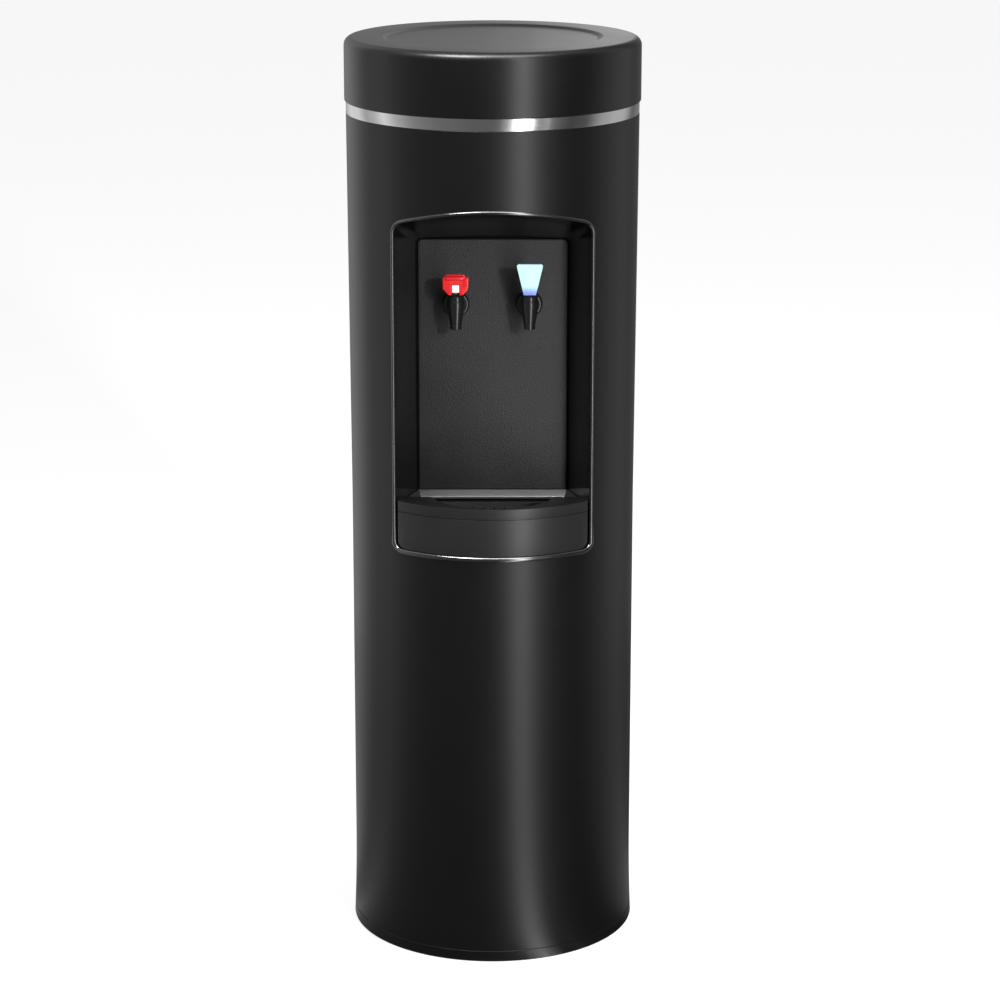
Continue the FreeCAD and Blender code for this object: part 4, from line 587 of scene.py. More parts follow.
def makeCamera():
    lens = bpy.data.cameras.new("camera")
    lens.lens = view["lens"]
    lens.sensor_width = 36
    lens.shift_x, lens.shift_y = view["shift"]
    lens.clip_end = 100
    camera = bpy.data.objects.new("camera", lens)
    camera.location = (0, -view["distance"], view["height"])
    camera.rotation_euler = (math.radians(90 - view["pitch"]), 0, 0)
    bpy.context.scene.collection.objects.link(camera)
    bpy.context.scene.camera = camera


studio = {
    "floorSize": 40.0,
    "floorTone": 0.34, "floorGlow": 0.82,
    "worldTone": 0.28,
    "keyPower": 300.0, "keySize": 0.22, "keyAt": (1.35, -3.6, 1.75),
    "topPower": 40.0, "topSize": 2.4, "topAt": (-0.3, 0.4, 3.2),
    "boxes": [
        {"tone": 9.0, "left": -0.7, "right": 0.7, "front": -1.6, "back": -0.35, "height": 2.35},
        {"tone": 42.0, "left": -0.95, "right": -0.3, "front": -1.15, "back": -0.5, "height": 2.3},
    ],
    "roofTone": 0.6, "matShare": 0.6,
    "cards": 120, "wallRadius": 1.15, "wallFoot": 0.004, "wallHeight": 2.4, "matHeight": 0.003,
}

# Tones of the light tent by heading in degrees: 0 is the front, 90 the right hand side.
tentTones = [
    (-180, 0.45), (-158, 0.4), (-140, 0.8), (-122, 0.8), (-110, 0.42), (-98, 0.55), (-88, 0.9), (-76, 0.5),
    (-60, 0.26), (-40, 0.17), (-14, 0.13), (4, 0.12), (13, 0.5), (18, 3.6), (22, 8.0), (26, 3.4), (31, 0.4),
    (36, 0.25), (40, 0.5), (44, 0.16), (58, 0.06), (74, 0.10), (88, 0.40), (104, 0.52), (118, 0.50),
    (132, 0.14), (146, 0.20), (160, 0.25), (170, 1.2),
]


def glowing(name, tone):
    material = bpy.data.materials.new(name)
    material.use_nodes = True
    sheet = Sheet(material.node_tree)
    material.node_tree.nodes.clear()
    glow = sheet.node("ShaderNodeEmission", None, {"Color": (1, 1, 1, 1), "Strength": tone})
    done = material.node_tree.nodes.new("ShaderNodeOutputMaterial")
    sheet.feed(done.inputs["Surface"], glow)
    return material


def onlyReflected(obj):
    # A studio card that is seen in reflections and nowhere else.
    obj.visible_camera = False
    obj.visible_diffuse = False
    obj.visible_shadow = False
    obj.visible_transmission = False


def tentTone(heading):
    stops = tentTones + [(tentTones[0][0] + 360, tentTones[0][1])]
    for (start, low), (end, high) in zip(stops, stops[1:]):
        if start <= heading <= end:
            return low + (high - low) * (heading - start) / (end - start)
    return tentTones[0][1]


def paintCards(obj, name, share=1):
    # A glowing material for each card, by the heading of its middle.
    cards = studio["cards"]
    for step, face in enumerate(obj.data.polygons):
        heading = (360 * (step + 0.5) / cards + 180) % 360 - 180
        obj.data.materials.append(glowing(f"{name}{step}", tentTone(heading) * share))
        face.material_index = step
    onlyReflected(obj)


def makeTent():
    # Upright cards round the object, a dark mat on the floor and a soft ceiling.
    cards, radius, height = studio["cards"], studio["wallRadius"], studio["wallHeight"]
    corners = []
    for step in range(cards + 1):
        heading = 2 * math.pi * step / cards
        corners.append((radius * math.sin(heading), -radius * math.cos(heading)))
    vertices = [(x, y, z) for x, y in corners for z in (studio["wallFoot"], height)]
    faces = [(2 * step, 2 * step + 1, 2 * step + 3, 2 * step + 2) for step in range(cards)]
    paintCards(newObject("tentWall", vertices, faces), "card")
    spokes = [(x, y, studio["matHeight"]) for x, y in corners + [(0, 0)]]
    mat = newObject("tentMat", spokes, [(step, step + 1, cards + 1) for step in range(cards)])
    paintCards(mat, "mat", studio["matShare"])
    roof = newObject("tentRoof", [(x, y, height) for x, y in corners[:-1]], [tuple(range(cards))])
    roof.data.materials.append(glowing("tentRoof", studio["roofTone"]))
    onlyReflected(roof)
    for number, box in enumerate(studio["boxes"]):
        left, right, near, far = box["left"], box["right"], box["front"], box["back"]
        plan = [(left, near), (right, near), (right, far), (left, far)]
        softBox = newObject(f"softBox{number}", [(x, y, box["height"]) for x, y in plan], [(0, 1, 2, 3)])
        softBox.data.materials.append(glowing(f"softBox{number}", box["tone"]))
        onlyReflected(softBox)


def makeLight(name, power, size, at, aim):
    lamp = bpy.data.lights.new(name, "AREA")
    lamp.energy = power
    lamp.size = size
    light = bpy.data.objects.new(name, lamp)
    light.location = at
    light.rotation_euler = (Vector(aim) - Vector(at)).to_track_quat("-Z", "Y").to_euler()
    light.visible_camera = False
    light.visible_glossy = False
    bpy.context.scene.collection.objects.link(light)


def makeStudio():
    bpy.context.scene.view_settings.view_transform = "Standard"
    world = bpy.data.worlds.new("studio")
    world.use_nodes = True
    tone = studio["worldTone"]
    world.node_tree.nodes["Background"].inputs["Color"].default_value = (tone, tone, tone * 1.01, 1)
    bpy.context.scene.world = world
    half = studio["floorSize"] / 2
    floor = newObject("floor", [(-half, -half, 0), (half, -half, 0), (half, half, 0), (-half, half, 0)],
                      [(0, 1, 2, 3)])
    tone = studio["floorTone"]
    glow = studio["floorGlow"]
    paper = Finish("paper", roughness=0.9, level=0.1, glow=(glow, glow, glow, 1), glowStrength=1.0)
    paper.drive("colour", paper.tint((tone, tone, tone), (tone * 1.02,) * 3, paper.grain(0.4)))
    floor.data.materials.append(paper.material)
    makeTent()
    middle = (0, 0, 0.5)
    makeLight("key", studio["keyPower"], studio["keySize"], studio["keyAt"], (0, 0, 0.7))
    makeLight("top", studio["topPower"], studio["topSize"], studio["topAt"], middle)


makeCamera()
makeStudio()
print("camera, floor and light made")


# Cabinet

bandLow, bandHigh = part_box("trim_band")
shellLow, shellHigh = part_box("cabinet_shell")
topRadius = bandHigh.x
cabinet = {
    "draft": 0.0025, "draftStart": 0.5,
    "flare": 0.0023, "flareHeight": 0.098,
    "wall": 0.004, "edge": 0.0012,
    "seamHeight": 0.014, "seamWidth": 0.0012, "seamDepth": 0.0007,
    "segments": 288,
}
bodyRadius = topRadius - cabinet["draft"]
innerRadius = bodyRadius - cabinet["wall"]
cabinetFoot = shellLow.z
cabinetTop = shellHigh.z
flareTop = cabinetFoot + cabinet["flareHeight"]
flareCurve = (cabinet["flareHeight"] ** 2 + cabinet["flare"] ** 2) / (2 * cabinet["flare"])

opening = {"half": 0.1067, "bottom": 0.462, "top": 0.838, "arch": 0.330, "corner": 0.016, "foot": 0.010}
alcove = {"half": 0.081, "bottom": 0.4644, "top": 0.789, "arch": 3.0, "corner": 0.005, "foot": 0.005}
plate = {"half": 0.058, "lap": 0.002}
backCut = {"inner": 0.02, "outer": 0.2}
rearDoor = {"half": 0.092, "bottom": 0.100, "top": 0.680, "gap": 0.0004, "lip": 0.008, "lipWall": 0.002,
            "ventRows": 18, "ventPitch": 0.028, "ventHeight": 0.006, "ventStart": 0.143,
            "ventInner": 0.005, "ventOuter": 0.060}


def skinRadius(height):
    if height < flareTop:
        return bodyRadius + flareCurve - math.sqrt(flareCurve ** 2 - (flareTop - height) ** 2)
    lean = max(0.0, height - cabinet["draftStart"]) / (cabinetTop - cabinet["draftStart"])
    return bodyRadius + cabinet["draft"] * lean


def archedOutline(shape, inset=0.0, steps=7, across=36, upright=14):
    # Outline of the opening or of the alcove's back, anticlockwise from the bottom right corner.
    half, bottom, top = shape["half"] - inset, shape["bottom"] + inset, shape["top"] - inset
    arch, corner, foot = shape["arch"] - inset, shape["corner"] - inset, shape["foot"] - inset
    rise = math.sqrt((arch - corner) ** 2 - (half - corner) ** 2)
    shoulder = top - arch + rise
    lean = math.atan2(rise, half - corner)
    right = arcPoints((half - foot, bottom + foot), foot, -quarter, 0, steps)
    for step in range(1, upright):
        right.append((half, bottom + foot + (shoulder - bottom - foot) * step / upright))
    right += arcPoints((half - corner, shoulder), corner, 0, lean, steps)
    crown = arcPoints((0, top - arch), arch, lean, math.pi - lean, across)[1:-1]
    left = [(-x, z) for x, z in reversed(right)]
    base = []
    for step in range(1, across):
        base.append((foot - half + 2 * (half - foot) * step / across, bottom))
    return right + crown + left + base


def onSkin(outline, proud=0.0):
    points = []
    for x, z in outline:
        radius = skinRadius(z) + proud
        points.append((x, -math.sqrt(radius ** 2 - x ** 2), z))
    return points


def skinProfile(inner):
    # Closed profile of the wall with eased ends and the seam above the foot.
    edge = cabinet["edge"]
    seam = cabinet["seamHeight"]
    depth = cabinet["seamDepth"]
    width = cabinet["seamWidth"]
    corners = [(inner, cabinetFoot), (skinRadius(cabinetFoot), cabinetFoot, edge)]
    corners += [
        (skinRadius(seam), seam, 0.0003),
        (skinRadius(seam) - depth, seam, 0.0002),
        (skinRadius(seam + width) - depth, seam + width, 0.0002),
        (skinRadius(seam + width), seam + width, 0.0003),
    ]
    for step in range(1, 13):
        height = seam + width + (flareTop - seam - width) * step / 12
        corners.append((skinRadius(height), height))
    for height in (0.22, 0.36, cabinet["draftStart"], 0.64, 0.78):
        corners.append((skinRadius(height), height))
    corners += [(skinRadius(cabinetTop), cabinetTop, edge / 2), (inner, cabinetTop)]
    return filleted(corners, 3)


def roundNormals(obj):
    # Gives the outer skin the normals of the true turned surface, so that cuts in it leave no trace.
    shaded(obj)
    mesh = obj.data
    normals = [tuple(corner.vector) for corner in mesh.corner_normals]
    for face in mesh.polygons:
        middle = Vector(face.center)
        flat = Vector((middle.x, middle.y, 0))
        off = abs(flat.length - skinRadius(middle.z))
        if off > 0.0004 or face.normal.dot(flat.normalized()) < 0.97:
            continue
        for loop in face.loop_indices:
            point = mesh.vertices[mesh.loops[loop].vertex_index].co
            slope = (skinRadius(point.z + 1e-4) - skinRadius(point.z - 1e-4)) / 2e-4
            reach = math.hypot(point.x, point.y)
            normals[loop] = tuple(Vector((point.x, point.y, -slope * reach)).normalized())
    mesh.normals_split_custom_set(normals)
    return obj


def backBrick(half, bottom, top):
    # A box that reaches through the back of the wall.
    return brick("backCut", (-half, backCut["inner"], bottom), (half, backCut["outer"], top))


def doorBrick(grow):
    return backBrick(rearDoor["half"] + grow, rearDoor["bottom"] - grow, rearDoor["top"] + grow)


def makeCabinet():
    shell = turned("cabinetShell", skinProfile(innerRadius), "cabinet_plastic", cabinet["segments"])
    lap = plate["lap"]
    cuts = [standing("mouth", archedOutline(opening), -0.2, -0.06)]
    for node in ("service_plate", "control_plate"):
        low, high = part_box(node)
        cuts.append(backBrick(plate["half"] - lap, low.z + lap, high.z - lap))
    carved(shell, *cuts, doorBrick(0.0))
    settle(roundNormals(shell), "cabinet", "cabinet_plastic", "cabinet_shell")


def makeRearPanel():
    panel = turned("rearPanel", skinProfile(innerRadius - rearDoor["lipWall"]), "rear_plastic",
                   cabinet["segments"])
    carved(panel, doorBrick(rearDoor["lip"]), operation="INTERSECT")
    outside = turned("outside", [(innerRadius, -0.01), (0.2, -0.01), (0.2, 0.99), (innerRadius, 0.99)],
                     "rear_plastic", cabinet["segments"])
    carved(panel, carved(outside, doorBrick(-rearDoor["gap"])))
    width = rearDoor["ventOuter"] - rearDoor["ventInner"]
    middle = (rearDoor["ventOuter"] + rearDoor["ventInner"]) / 2
    for side in (-1, 1):
        shapedBy(panel, slots, count=rearDoor["ventRows"], start=(side * middle, 0.15, rearDoor["ventStart"]),
                 pitch=(0, 0, rearDoor["ventPitch"]), cutter=(width, 0.08, rearDoor["ventHeight"]),
                 finish=finishes["rear_plastic"])
    settle(roundNormals(panel), "cabinet", "rear_plastic", "rear_panel")


makeCabinet()
makeRearPanel()
print("cabinet and rear panel made")


# Lid, band, collar, base and feet

lidLow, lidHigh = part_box("lid")
lid = {"edge": 0.009, "wall": 0.003, "recessRadius": 0.117, "recessDepth": 0.0025, "recessEdge": 0.004,
       "spigotRadius": 0.1343, "foot": 0.0012}
band = {"thickness": 0.001, "edge": 0.0004}
seat = {"bore": 0.1349, "depth": 0.016}
feet = {"radius": 0.013, "circle": 0.120, "height": 0.005}


def makeLid():
    radius, top, bottom = lidHigh.x, lidHigh.z, bandHigh.z
    floor = top - lid["recessDepth"]
    under = floor - lid["wall"]
    spigot = lid["spigotRadius"]
    profile = filleted([
        (0, under),
        (spigot - lid["wall"], under, 0.002),
        (spigot - lid["wall"], lidLow.z, 0.0006),
        (spigot, lidLow.z, 0.0006),
        (spigot, under - lid["edge"], 0.001),
        (radius - lid["wall"], under - lid["edge"], 0.002),
        (radius - lid["wall"], bottom, 0.0006),
        (radius, bottom, lid["foot"]),
        (radius, top, lid["edge"]),
        (lid["recessRadius"] + 0.0015, top, lid["recessEdge"]),
        (lid["recessRadius"] - lid["recessDepth"] - 0.0015, floor, lid["recessEdge"]),
        (0, floor),
    ], 8, closed=False)
    made = turned("lidShell", profile, "lid_plastic", 256, closed=False)
    settle(made, "lid", "lid_plastic", "lid")


def makeBand():
    inner, outer, edge = bandHigh.x - band["thickness"], bandHigh.x, band["edge"]
    profile = filleted([
        (inner, bandLow.z), (outer, bandLow.z, edge), (outer, bandHigh.z, edge), (inner, bandHigh.z),
    ], 3)
    settle(turned("steelBand", profile, "band_steel", 256), "cabinet", "band_steel", "trim_band")
    floor = cabinetTop - seat["depth"]
    profile = filleted([
        (seat["bore"], floor, 0.0008), (innerRadius, floor, 0.0008), (innerRadius, cabinetTop),
        (inner, cabinetTop), (inner, bandHigh.z, edge), (seat["bore"], bandHigh.z, 0.001),
    ], 3)
    settle(turned("topCollar", profile, "collar_plastic", 192), "cabinet", "collar_plastic", "top_collar")


def makeFeet():
    baseLow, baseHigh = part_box("base_plate")
    rim, low, high = baseHigh.x, baseLow.z, baseHigh.z
    profile = filleted([(0, low), (rim, low, 0.0008), (rim, high, 0.0008), (0, high)], 3, closed=False)
    disc = turned("basePlate", profile, "sheet_steel", 192, closed=False)
    settle(disc, "cabinet", "sheet_steel", "base_plate")
    profile = filleted([
        (0, 0.0006), (0.004, 0.0006), (0.005, 0.0), (feet["radius"] - 0.0012, 0, 0.0008),
        (feet["radius"], feet["height"], 0.0006), (0, feet["height"]),
    ], 3, closed=False)
    pads = []
    for corner in range(4):
        angle = math.radians(45 + 90 * corner)
        at = (feet["circle"] * math.cos(angle), feet["circle"] * math.sin(angle), 0)
        pads.append(turned(f"pad{corner}", profile, "foot_rubber", 48, closed=False, at=at))
    settle(shaded(joined("rubberFeet", *pads)), "cabinet", "foot_rubber", "rubber_feet")


makeLid()
makeBand()
makeFeet()
print("lid, band, collar, base and feet made")


# Alcove

liner = {"fit": 0.0002, "inset": 0.0024, "mouth": -0.105, "wallFace": -0.037, "wallBack": -0.0348,
         "bead": 0.0029, "beadThin": 0.62, "beadFade": 0.03, "beadOut": -0.0004}
ledge = {"top": 0.510, "fall": 0.006, "bottom": 0.5015, "back": -0.0395, "face": -0.0402, "reach": -0.049,
         "front": -0.1005, "rail": 0.0062, "railTop": 0.0012, "ease": 0.0007}
panel = {"half": 0.0805, "bottom": 0.5104, "top": 0.7885, "corner": 0.0045, "front": -0.040, "ease": 0.0011}


def wallHalf(depth):
    # Half width between the alcove's side walls at a given y.
    share = (depth - liner["wallFace"]) / (liner["mouth"] - liner["wallFace"])
    return alcove["half"] + (opening["half"] - liner["inset"] - alcove["half"]) * share


def makeLiner():
    outer = archedOutline(opening, liner["fit"])
    inner = archedOutline(opening, liner["inset"])
    back = archedOutline(alcove)
    behind = archedOutline(alcove, liner["wallFace"] - liner["wallBack"])
    loops = [
        [(x, liner["wallBack"], z) for x, z in behind],
        [(x, liner["mouth"], z) for x, z in outer],
        onSkin(outer, 0.0004),
        onSkin(inner, 0.0004),
        [(x, liner["mouth"], z) for x, z in inner],
        [(x, liner["wallFace"], z) for x, z in back],
    ]
    tub = lofted("alcoveLiner", loops)
    settle(shaded(tub, 40), "cabinet", "liner_plastic", "alcove_liner")
    path = onSkin(archedOutline(opening, 0.0006, steps=10, across=60, upright=30), liner["beadOut"])
    count = len(path)
    bead = newObject("alcoveBead", path, [], [(index, (index + 1) % count) for index in range(count)])
    girth = bead.data.attributes.new("girth", "FLOAT", "POINT")
    for index, point in enumerate(path):
        low = max(0.0, 1 - (point[2] - opening["bottom"]) / liner["beadFade"])
        girth.data[index].value = liner["beadThin"] + (1 - liner["beadThin"]) * min(1.0, low * 1.5)
    shapedBy(bead, rim, radius=liner["bead"], sides=16, finish=finishes["liner_plastic"])
    settle(shaded(outward(bead), 60), "cabinet", "liner_plastic", finish="bead_gloss")


def makeLedge():
    # Rail with a sloping top that runs along the side walls and under the splash panel.
    def station(side, depth, front):
        half = wallHalf(depth) - 0.0003
        if front:
            spots = [(half, depth), (half - ledge["rail"], depth), (half - ledge["railTop"], depth)]
        else:
            reach = ledge["reach"]
            spots = [(wallHalf(ledge["back"]) - 0.0003, ledge["back"]),
                     (wallHalf(reach) - ledge["rail"], reach),
                     (wallHalf(ledge["face"]) - ledge["railTop"], ledge["face"])]
        (outerX, outerY), (innerX, innerY), (topX, topY) = spots
        return [(side * outerX, outerY, ledge["bottom"]), (side * innerX, innerY, ledge["bottom"]),
                (side * innerX, innerY, ledge["top"] - ledge["fall"]), (side * topX, topY, ledge["top"]),
                (side * outerX, outerY, ledge["top"])]
    loops = [station(-1, ledge["front"], True), station(-1, 0, False), station(1, 0, False),
             station(1, ledge["front"], True)]
    rail = eased(lofted("alcoveLedge", loops), ledge["ease"], 3, 20)
    settle(shaded(rail), "cabinet", "liner_plastic", finish="ledge_satin")


def makePanel():
    half, bottom, top, corner = panel["half"], panel["bottom"], panel["top"], panel["corner"]
    outline = filleted([(-half, bottom, 0.0008), (half, bottom, 0.0008), (half, top, corner),
                        (-half, top, corner)], 6)
    sheet = standing("splashPanel", outline, panel["front"], liner["wallFace"])
    eased(sheet, panel["ease"], 3)
    settle(shaded(sheet), "cabinet", "panel_plastic", "splash_panel")


makeLiner()
makeLedge()
makePanel()
print("alcove made")


# Drip tray and grille

trayLow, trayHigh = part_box("drip_tray")
grilleLow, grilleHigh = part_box("tray_grille")
tray = {
    "front": -trayLow.y, "half": trayHigh.x, "top": trayHigh.z, "bottom": trayLow.z, "back": trayHigh.y,
    "turn": -0.1032, "sideGap": 0.0018, "corner": 0.008, "step": -0.101, "stepTop": 0.500,
    "grooveHeight": 0.506, "groove": 0.0012, "wellRadius": 0.068, "wellCentre": -0.084, "wellBack": -0.058,
    "basin": 0.005, "wall": 0.0026, "ease": 0.0011,
}
grille = {"gap": 0.0006, "slotWidth": 0.005, "slotPitch": 0.011, "slotLength": 0.076, "ease": 0.0004}


def wellOutline(grow, steps=96):
    # A circle with its back cut straight.
    radius = tray["wellRadius"] + grow
    flat = tray["wellBack"] + grow
    angle = math.asin((flat - tray["wellCentre"]) / radius)
    return arcPoints((0, tray["wellCentre"]), radius, math.pi - angle, 2 * math.pi + angle, steps)


def makeTray():
    def loop(half, depth):
        corner = tray["corner"]
        outline = filleted([(-half, tray["bottom"], corner), (half, tray["bottom"], corner),
                            (half, tray["top"]), (-half, tray["top"])], 8)
        return [(x, depth, z) for x, z in outline]
    back = wallHalf(tray["back"]) - tray["sideGap"]
    body = lofted("dripTray", [loop(tray["half"], -0.17), loop(tray["half"], tray["turn"]),
                               loop(back, tray["back"])])
    drum = [(0, 0.4), (tray["front"], 0.4), (tray["front"], 0.6), (0, 0.6)]
    carved(body, turned("drum", drum, "tray_plastic", 360, closed=False), operation="INTERSECT")
    step = brick("step", (-0.2, tray["step"], tray["stepTop"]), (0.2, 0.1, 0.6))
    height = tray["grooveHeight"]
    front = tray["front"]
    depth = tray["groove"]
    ring = [(front - depth, height), (front + 0.01, height), (front + 0.01, height + depth),
            (front - depth, height + depth)]
    groove = turned("groove", ring, "tray_plastic", 360)
    well = raised("well", wellOutline(0), grilleLow.z, 0.6)
    basin = raised("basin", wellOutline(-tray["basin"]), tray["bottom"] + tray["wall"], 0.55)
    carved(body, step, groove, well, basin)
    outward(body, 1e-5)
    eased(body, tray["ease"], 3, 32)
    settle(shaded(body, 32), "tray", "tray_plastic", "drip_tray")


def makeGrille():
    body = raised("trayGrille", wellOutline(-grille["gap"]), grilleLow.z, grilleHigh.z)
    middle = tray["wellBack"] - tray["basin"]
    for row in range(-5, 6):
        length = grille["slotLength"] - abs(row) * grille["slotWidth"]
        half = grille["slotWidth"] / 2
        x = row * grille["slotPitch"]
        outline = filleted([(x - half, middle - length, half * 0.98), (x + half, middle - length, half * 0.98),
                            (x + half, middle, half * 0.98), (x - half, middle, half * 0.98)], 5)
        carved(body, raised("slot", outline, grilleLow.z - 0.01, grilleHigh.z + 0.01))
    eased(body, grille["ease"], 2)
    settle(shaded(body), "grille", "grille_plastic", "tray_grille")


makeTray()
makeGrille()
print("drip tray and grille made")


# Faucets and levers

faucet = {
    "x": 0.0395, "out": 0.078, "tip": 0.698, "top": 0.729, "radius": 0.0096, "tipRadius": 0.0063,
    "taper": 0.024, "bore": 0.003, "boreDepth": 0.014, "chamber": 0.0055, "chamberFloor": 0.714,
    "shankHeight": 0.719, "shankRadius": 0.008, "shankBack": 0.020,
    "flange": 0.0145, "flangeThickness": 0.010, "flangeEdge": 0.003,
    "bonnet": 0.009, "bonnetHeight": 0.006, "earGap": 0.0024, "earWidth": 0.0015,
    "earFront": 0.0021, "earBack": 0.004, "earTop": 0.0026,
    "pinOut": 0.086, "pinHeight": 0.739, "pinRadius": 0.00125,
    "stem": 0.00175, "stemTop": 0.745, "springRadius": 0.0031, "springWire": 0.0006,
    "springTop": 0.725, "springTurns": 5.0, "springKeep": 0.57, "plungerDrop": 0.007,
    "plungerGap": 0.0003, "headLip": 0.0012, "headHeight": 0.002, "capSkirt": 0.004,
}
nut = {"reach": 0.014, "thickness": 0.008, "ease": 0.0006}
paddle = {
    "face": 0.093, "thickness": 0.0034, "bottom": 0.7378, "webTop": 0.7525, "webThickness": 0.003,
    "cheekInner": 0.0043, "cheekOuter": 0.0068, "back": 0.072,
    "coldTop": 0.771, "coldHalf": 0.014, "coldFoot": 0.0065,
    "hotTop": 0.760, "hotHalf": 0.01375,
    "ribAt": 0.0024, "ribHalf": 0.0008, "ribProud": 0.0003, "ribFrom": 0.001, "ribTo": 0.0085,
}
lock = {"half": 0.0037, "bottom": 0.741, "height": 0.0077, "proud": 0.0016, "gap": 0.0003}


def faucetProfile():
    # Nozzle with a thin lip, its bore and the valve chamber above.
    tip, top = faucet["tip"], faucet["top"]
    return filleted([
        (0.0, tip + faucet["boreDepth"]),
        (faucet["bore"], tip + faucet["boreDepth"]),
        (faucet["bore"], tip, 0.0005),
        (faucet["tipRadius"], tip, 0.0007),
        (faucet["tipRadius"], tip + 0.0022, 0.0004),
        (faucet["tipRadius"] - 0.0003, tip + 0.0028, 0.0004),
        (faucet["radius"] - 0.0004, tip + faucet["taper"] - 0.002, 0.003),
        (faucet["radius"], tip + faucet["taper"], 0.001),
        (faucet["radius"], top, 0.0006),
        (faucet["chamber"], top, 0.0003),
        (faucet["chamber"], faucet["chamberFloor"]),
        (0.0, faucet["chamberFloor"]),
    ], 4, closed=False)


def makeFaucet(side, sign):
    x, out, springTop = sign * faucet["x"], faucet["out"], faucet["springTop"]
    at = (x, -out, 0)
    nozzle = turned(side + "Nozzle", faucetProfile(), "faucet_plastic", 64, closed=False, at=at)
    start, end = faucet["radius"] * 0.7, out - faucet["shankBack"]
    bore, wide = faucet["bore"], faucet["shankRadius"]
    shank = filleted([(bore, start), (wide, start), (wide, end, 0.0008), (bore, end, 0.0004)], 3)
    stub = turned(side + "Shank", shank, "faucet_plastic", 48, at=(x, -out, faucet["shankHeight"]), turn="back")
    body = shaded(joined(side + "FaucetBody", nozzle, stub))
    settle(body, "cabinet", "faucet_plastic", side + "_faucet_body")
    floor, plungerTop = faucet["chamberFloor"], springTop - faucet["plungerDrop"]
    snug = faucet["chamber"] - faucet["plungerGap"]
    plunger = filleted([(0, floor), (snug - 0.0008, floor), (snug, floor + 0.0008, 0.0004),
                        (snug, plungerTop, 0.0004), (0, plungerTop)], 4, closed=False)
    seal = turned(side + "Plunger", plunger, "silicone", 40, closed=False, at=at)
    settle(seal, side + "_valve", "silicone", side + "_plunger")
    stemTop, neck = faucet["stemTop"], faucet["stemTop"] - faucet["headHeight"]
    thin, head = faucet["stem"], faucet["stem"] + faucet["headLip"]
    stem = filleted([(0, plungerTop), (thin, plungerTop), (thin, neck, 0.0003), (head, neck, 0.0004),
                     (head, stemTop, 0.0008), (0, stemTop)], 4, closed=False)
    rod = turned(side + "Stem", stem, "lock_plastic", 32, closed=False, at=at)
    settle(rod, side + "_valve", slotOf[side + "_stem"], side + "_stem")
    wire = faucet["springWire"]
    coil = newObject(side + "Spring", [(0, 0, 0)], [])
    rise = springTop - plungerTop - 2 * wire
    shapedBy(coil, winding, turns=faucet["springTurns"], coil=faucet["springRadius"], rise=rise, wire=wire,
             finish=finishes["pin_steel"])
    outward(tipped(coil, (x, -out, plungerTop + wire)))
    settle(shaded(coil, 60), "cabinet", slotOf[side + "_spring"], side + "_spring")
    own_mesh(coil)


def makeFasteners():
    collars, nuts, bonnets, pins = [], [], [], []
    wide, thick, shankHeight = faucet["shankRadius"], faucet["flangeThickness"], faucet["shankHeight"]
    top, capTop = faucet["top"], faucet["top"] + faucet["bonnetHeight"]
    pinOut, earTop = faucet["pinOut"], faucet["pinHeight"] + faucet["earTop"]
    for side, sign in (("hot", -1), ("cold", 1)):
        x = sign * faucet["x"]
        profile = filleted([
            (wide, 0), (faucet["flange"], 0, 0.0006), (faucet["flange"], thick, faucet["flangeEdge"]),
            (wide + 0.001, thick, 0.001), (wide, thick - 0.001, 0.0003),
        ], 6)
        collars.append(turned(side + "Collar", profile, "faucet_plastic", 72,
                              at=(x, panel["front"], shankHeight), turn="front"))
        ring = [(nut["reach"] * math.cos(math.pi * k / 3), nut["reach"] * math.sin(math.pi * k / 3))
                for k in range(6)]
        hole = [(0, -0.01), (wide, -0.01), (wide, 0.02), (0, 0.02)]
        hexagon = raised(side + "Nut", ring, 0, nut["thickness"])
        carved(hexagon, turned("hole", hole, "faucet_plastic", 48, closed=False))
        nuts.append(tipped(eased(hexagon, nut["ease"]), (x, liner["wallBack"], shankHeight), "back"))
        bore, skirt = faucet["stem"] + 0.00008, top - faucet["capSkirt"]
        bonnets.append(turned(side + "Bonnet", filleted([
            (bore, skirt), (faucet["chamber"], skirt), (faucet["chamber"], top),
            (faucet["bonnet"], top, 0.0004), (faucet["bonnet"], capTop, 0.0016), (bore, capTop, 0.0004),
        ], 5), "faucet_plastic", 56, at=(x, -faucet["out"], 0)))
        front, back = -pinOut - faucet["earFront"], -pinOut + faucet["earBack"]
        outline = filleted([(front, capTop - 0.0016), (front, earTop, 0.0018), (back, earTop, 0.0018),
                            (back, capTop - 0.0016)], 5)
        for ear in (-1, 1):
            near = x + ear * faucet["earGap"]
            far = x + ear * (faucet["earGap"] + faucet["earWidth"])
            bonnets.append(eased(between(side + "Ear", outline, near, far), 0.0002, 1))
        radius, length = faucet["pinRadius"], 2 * paddle["cheekOuter"]
        pin = filleted([(0, 0), (radius, 0, 0.0004), (radius, length, 0.0004), (0, length)], 4, closed=False)
        pins.append(turned(side + "Pin", pin, "pin_steel", 32, closed=False,
                           at=(x - paddle["cheekOuter"], -pinOut, faucet["pinHeight"]), turn="side"))
    for name, parts, node in (("faucetCollars", collars, "faucet_collars"), ("faucetNuts", nuts, "faucet_nuts"),
                              ("faucetBonnets", bonnets, "faucet_bonnets"), ("leverPins", pins, "lever_pins")):
        settle(shaded(joined(name, *parts)), "cabinet", slotOf[node], node)


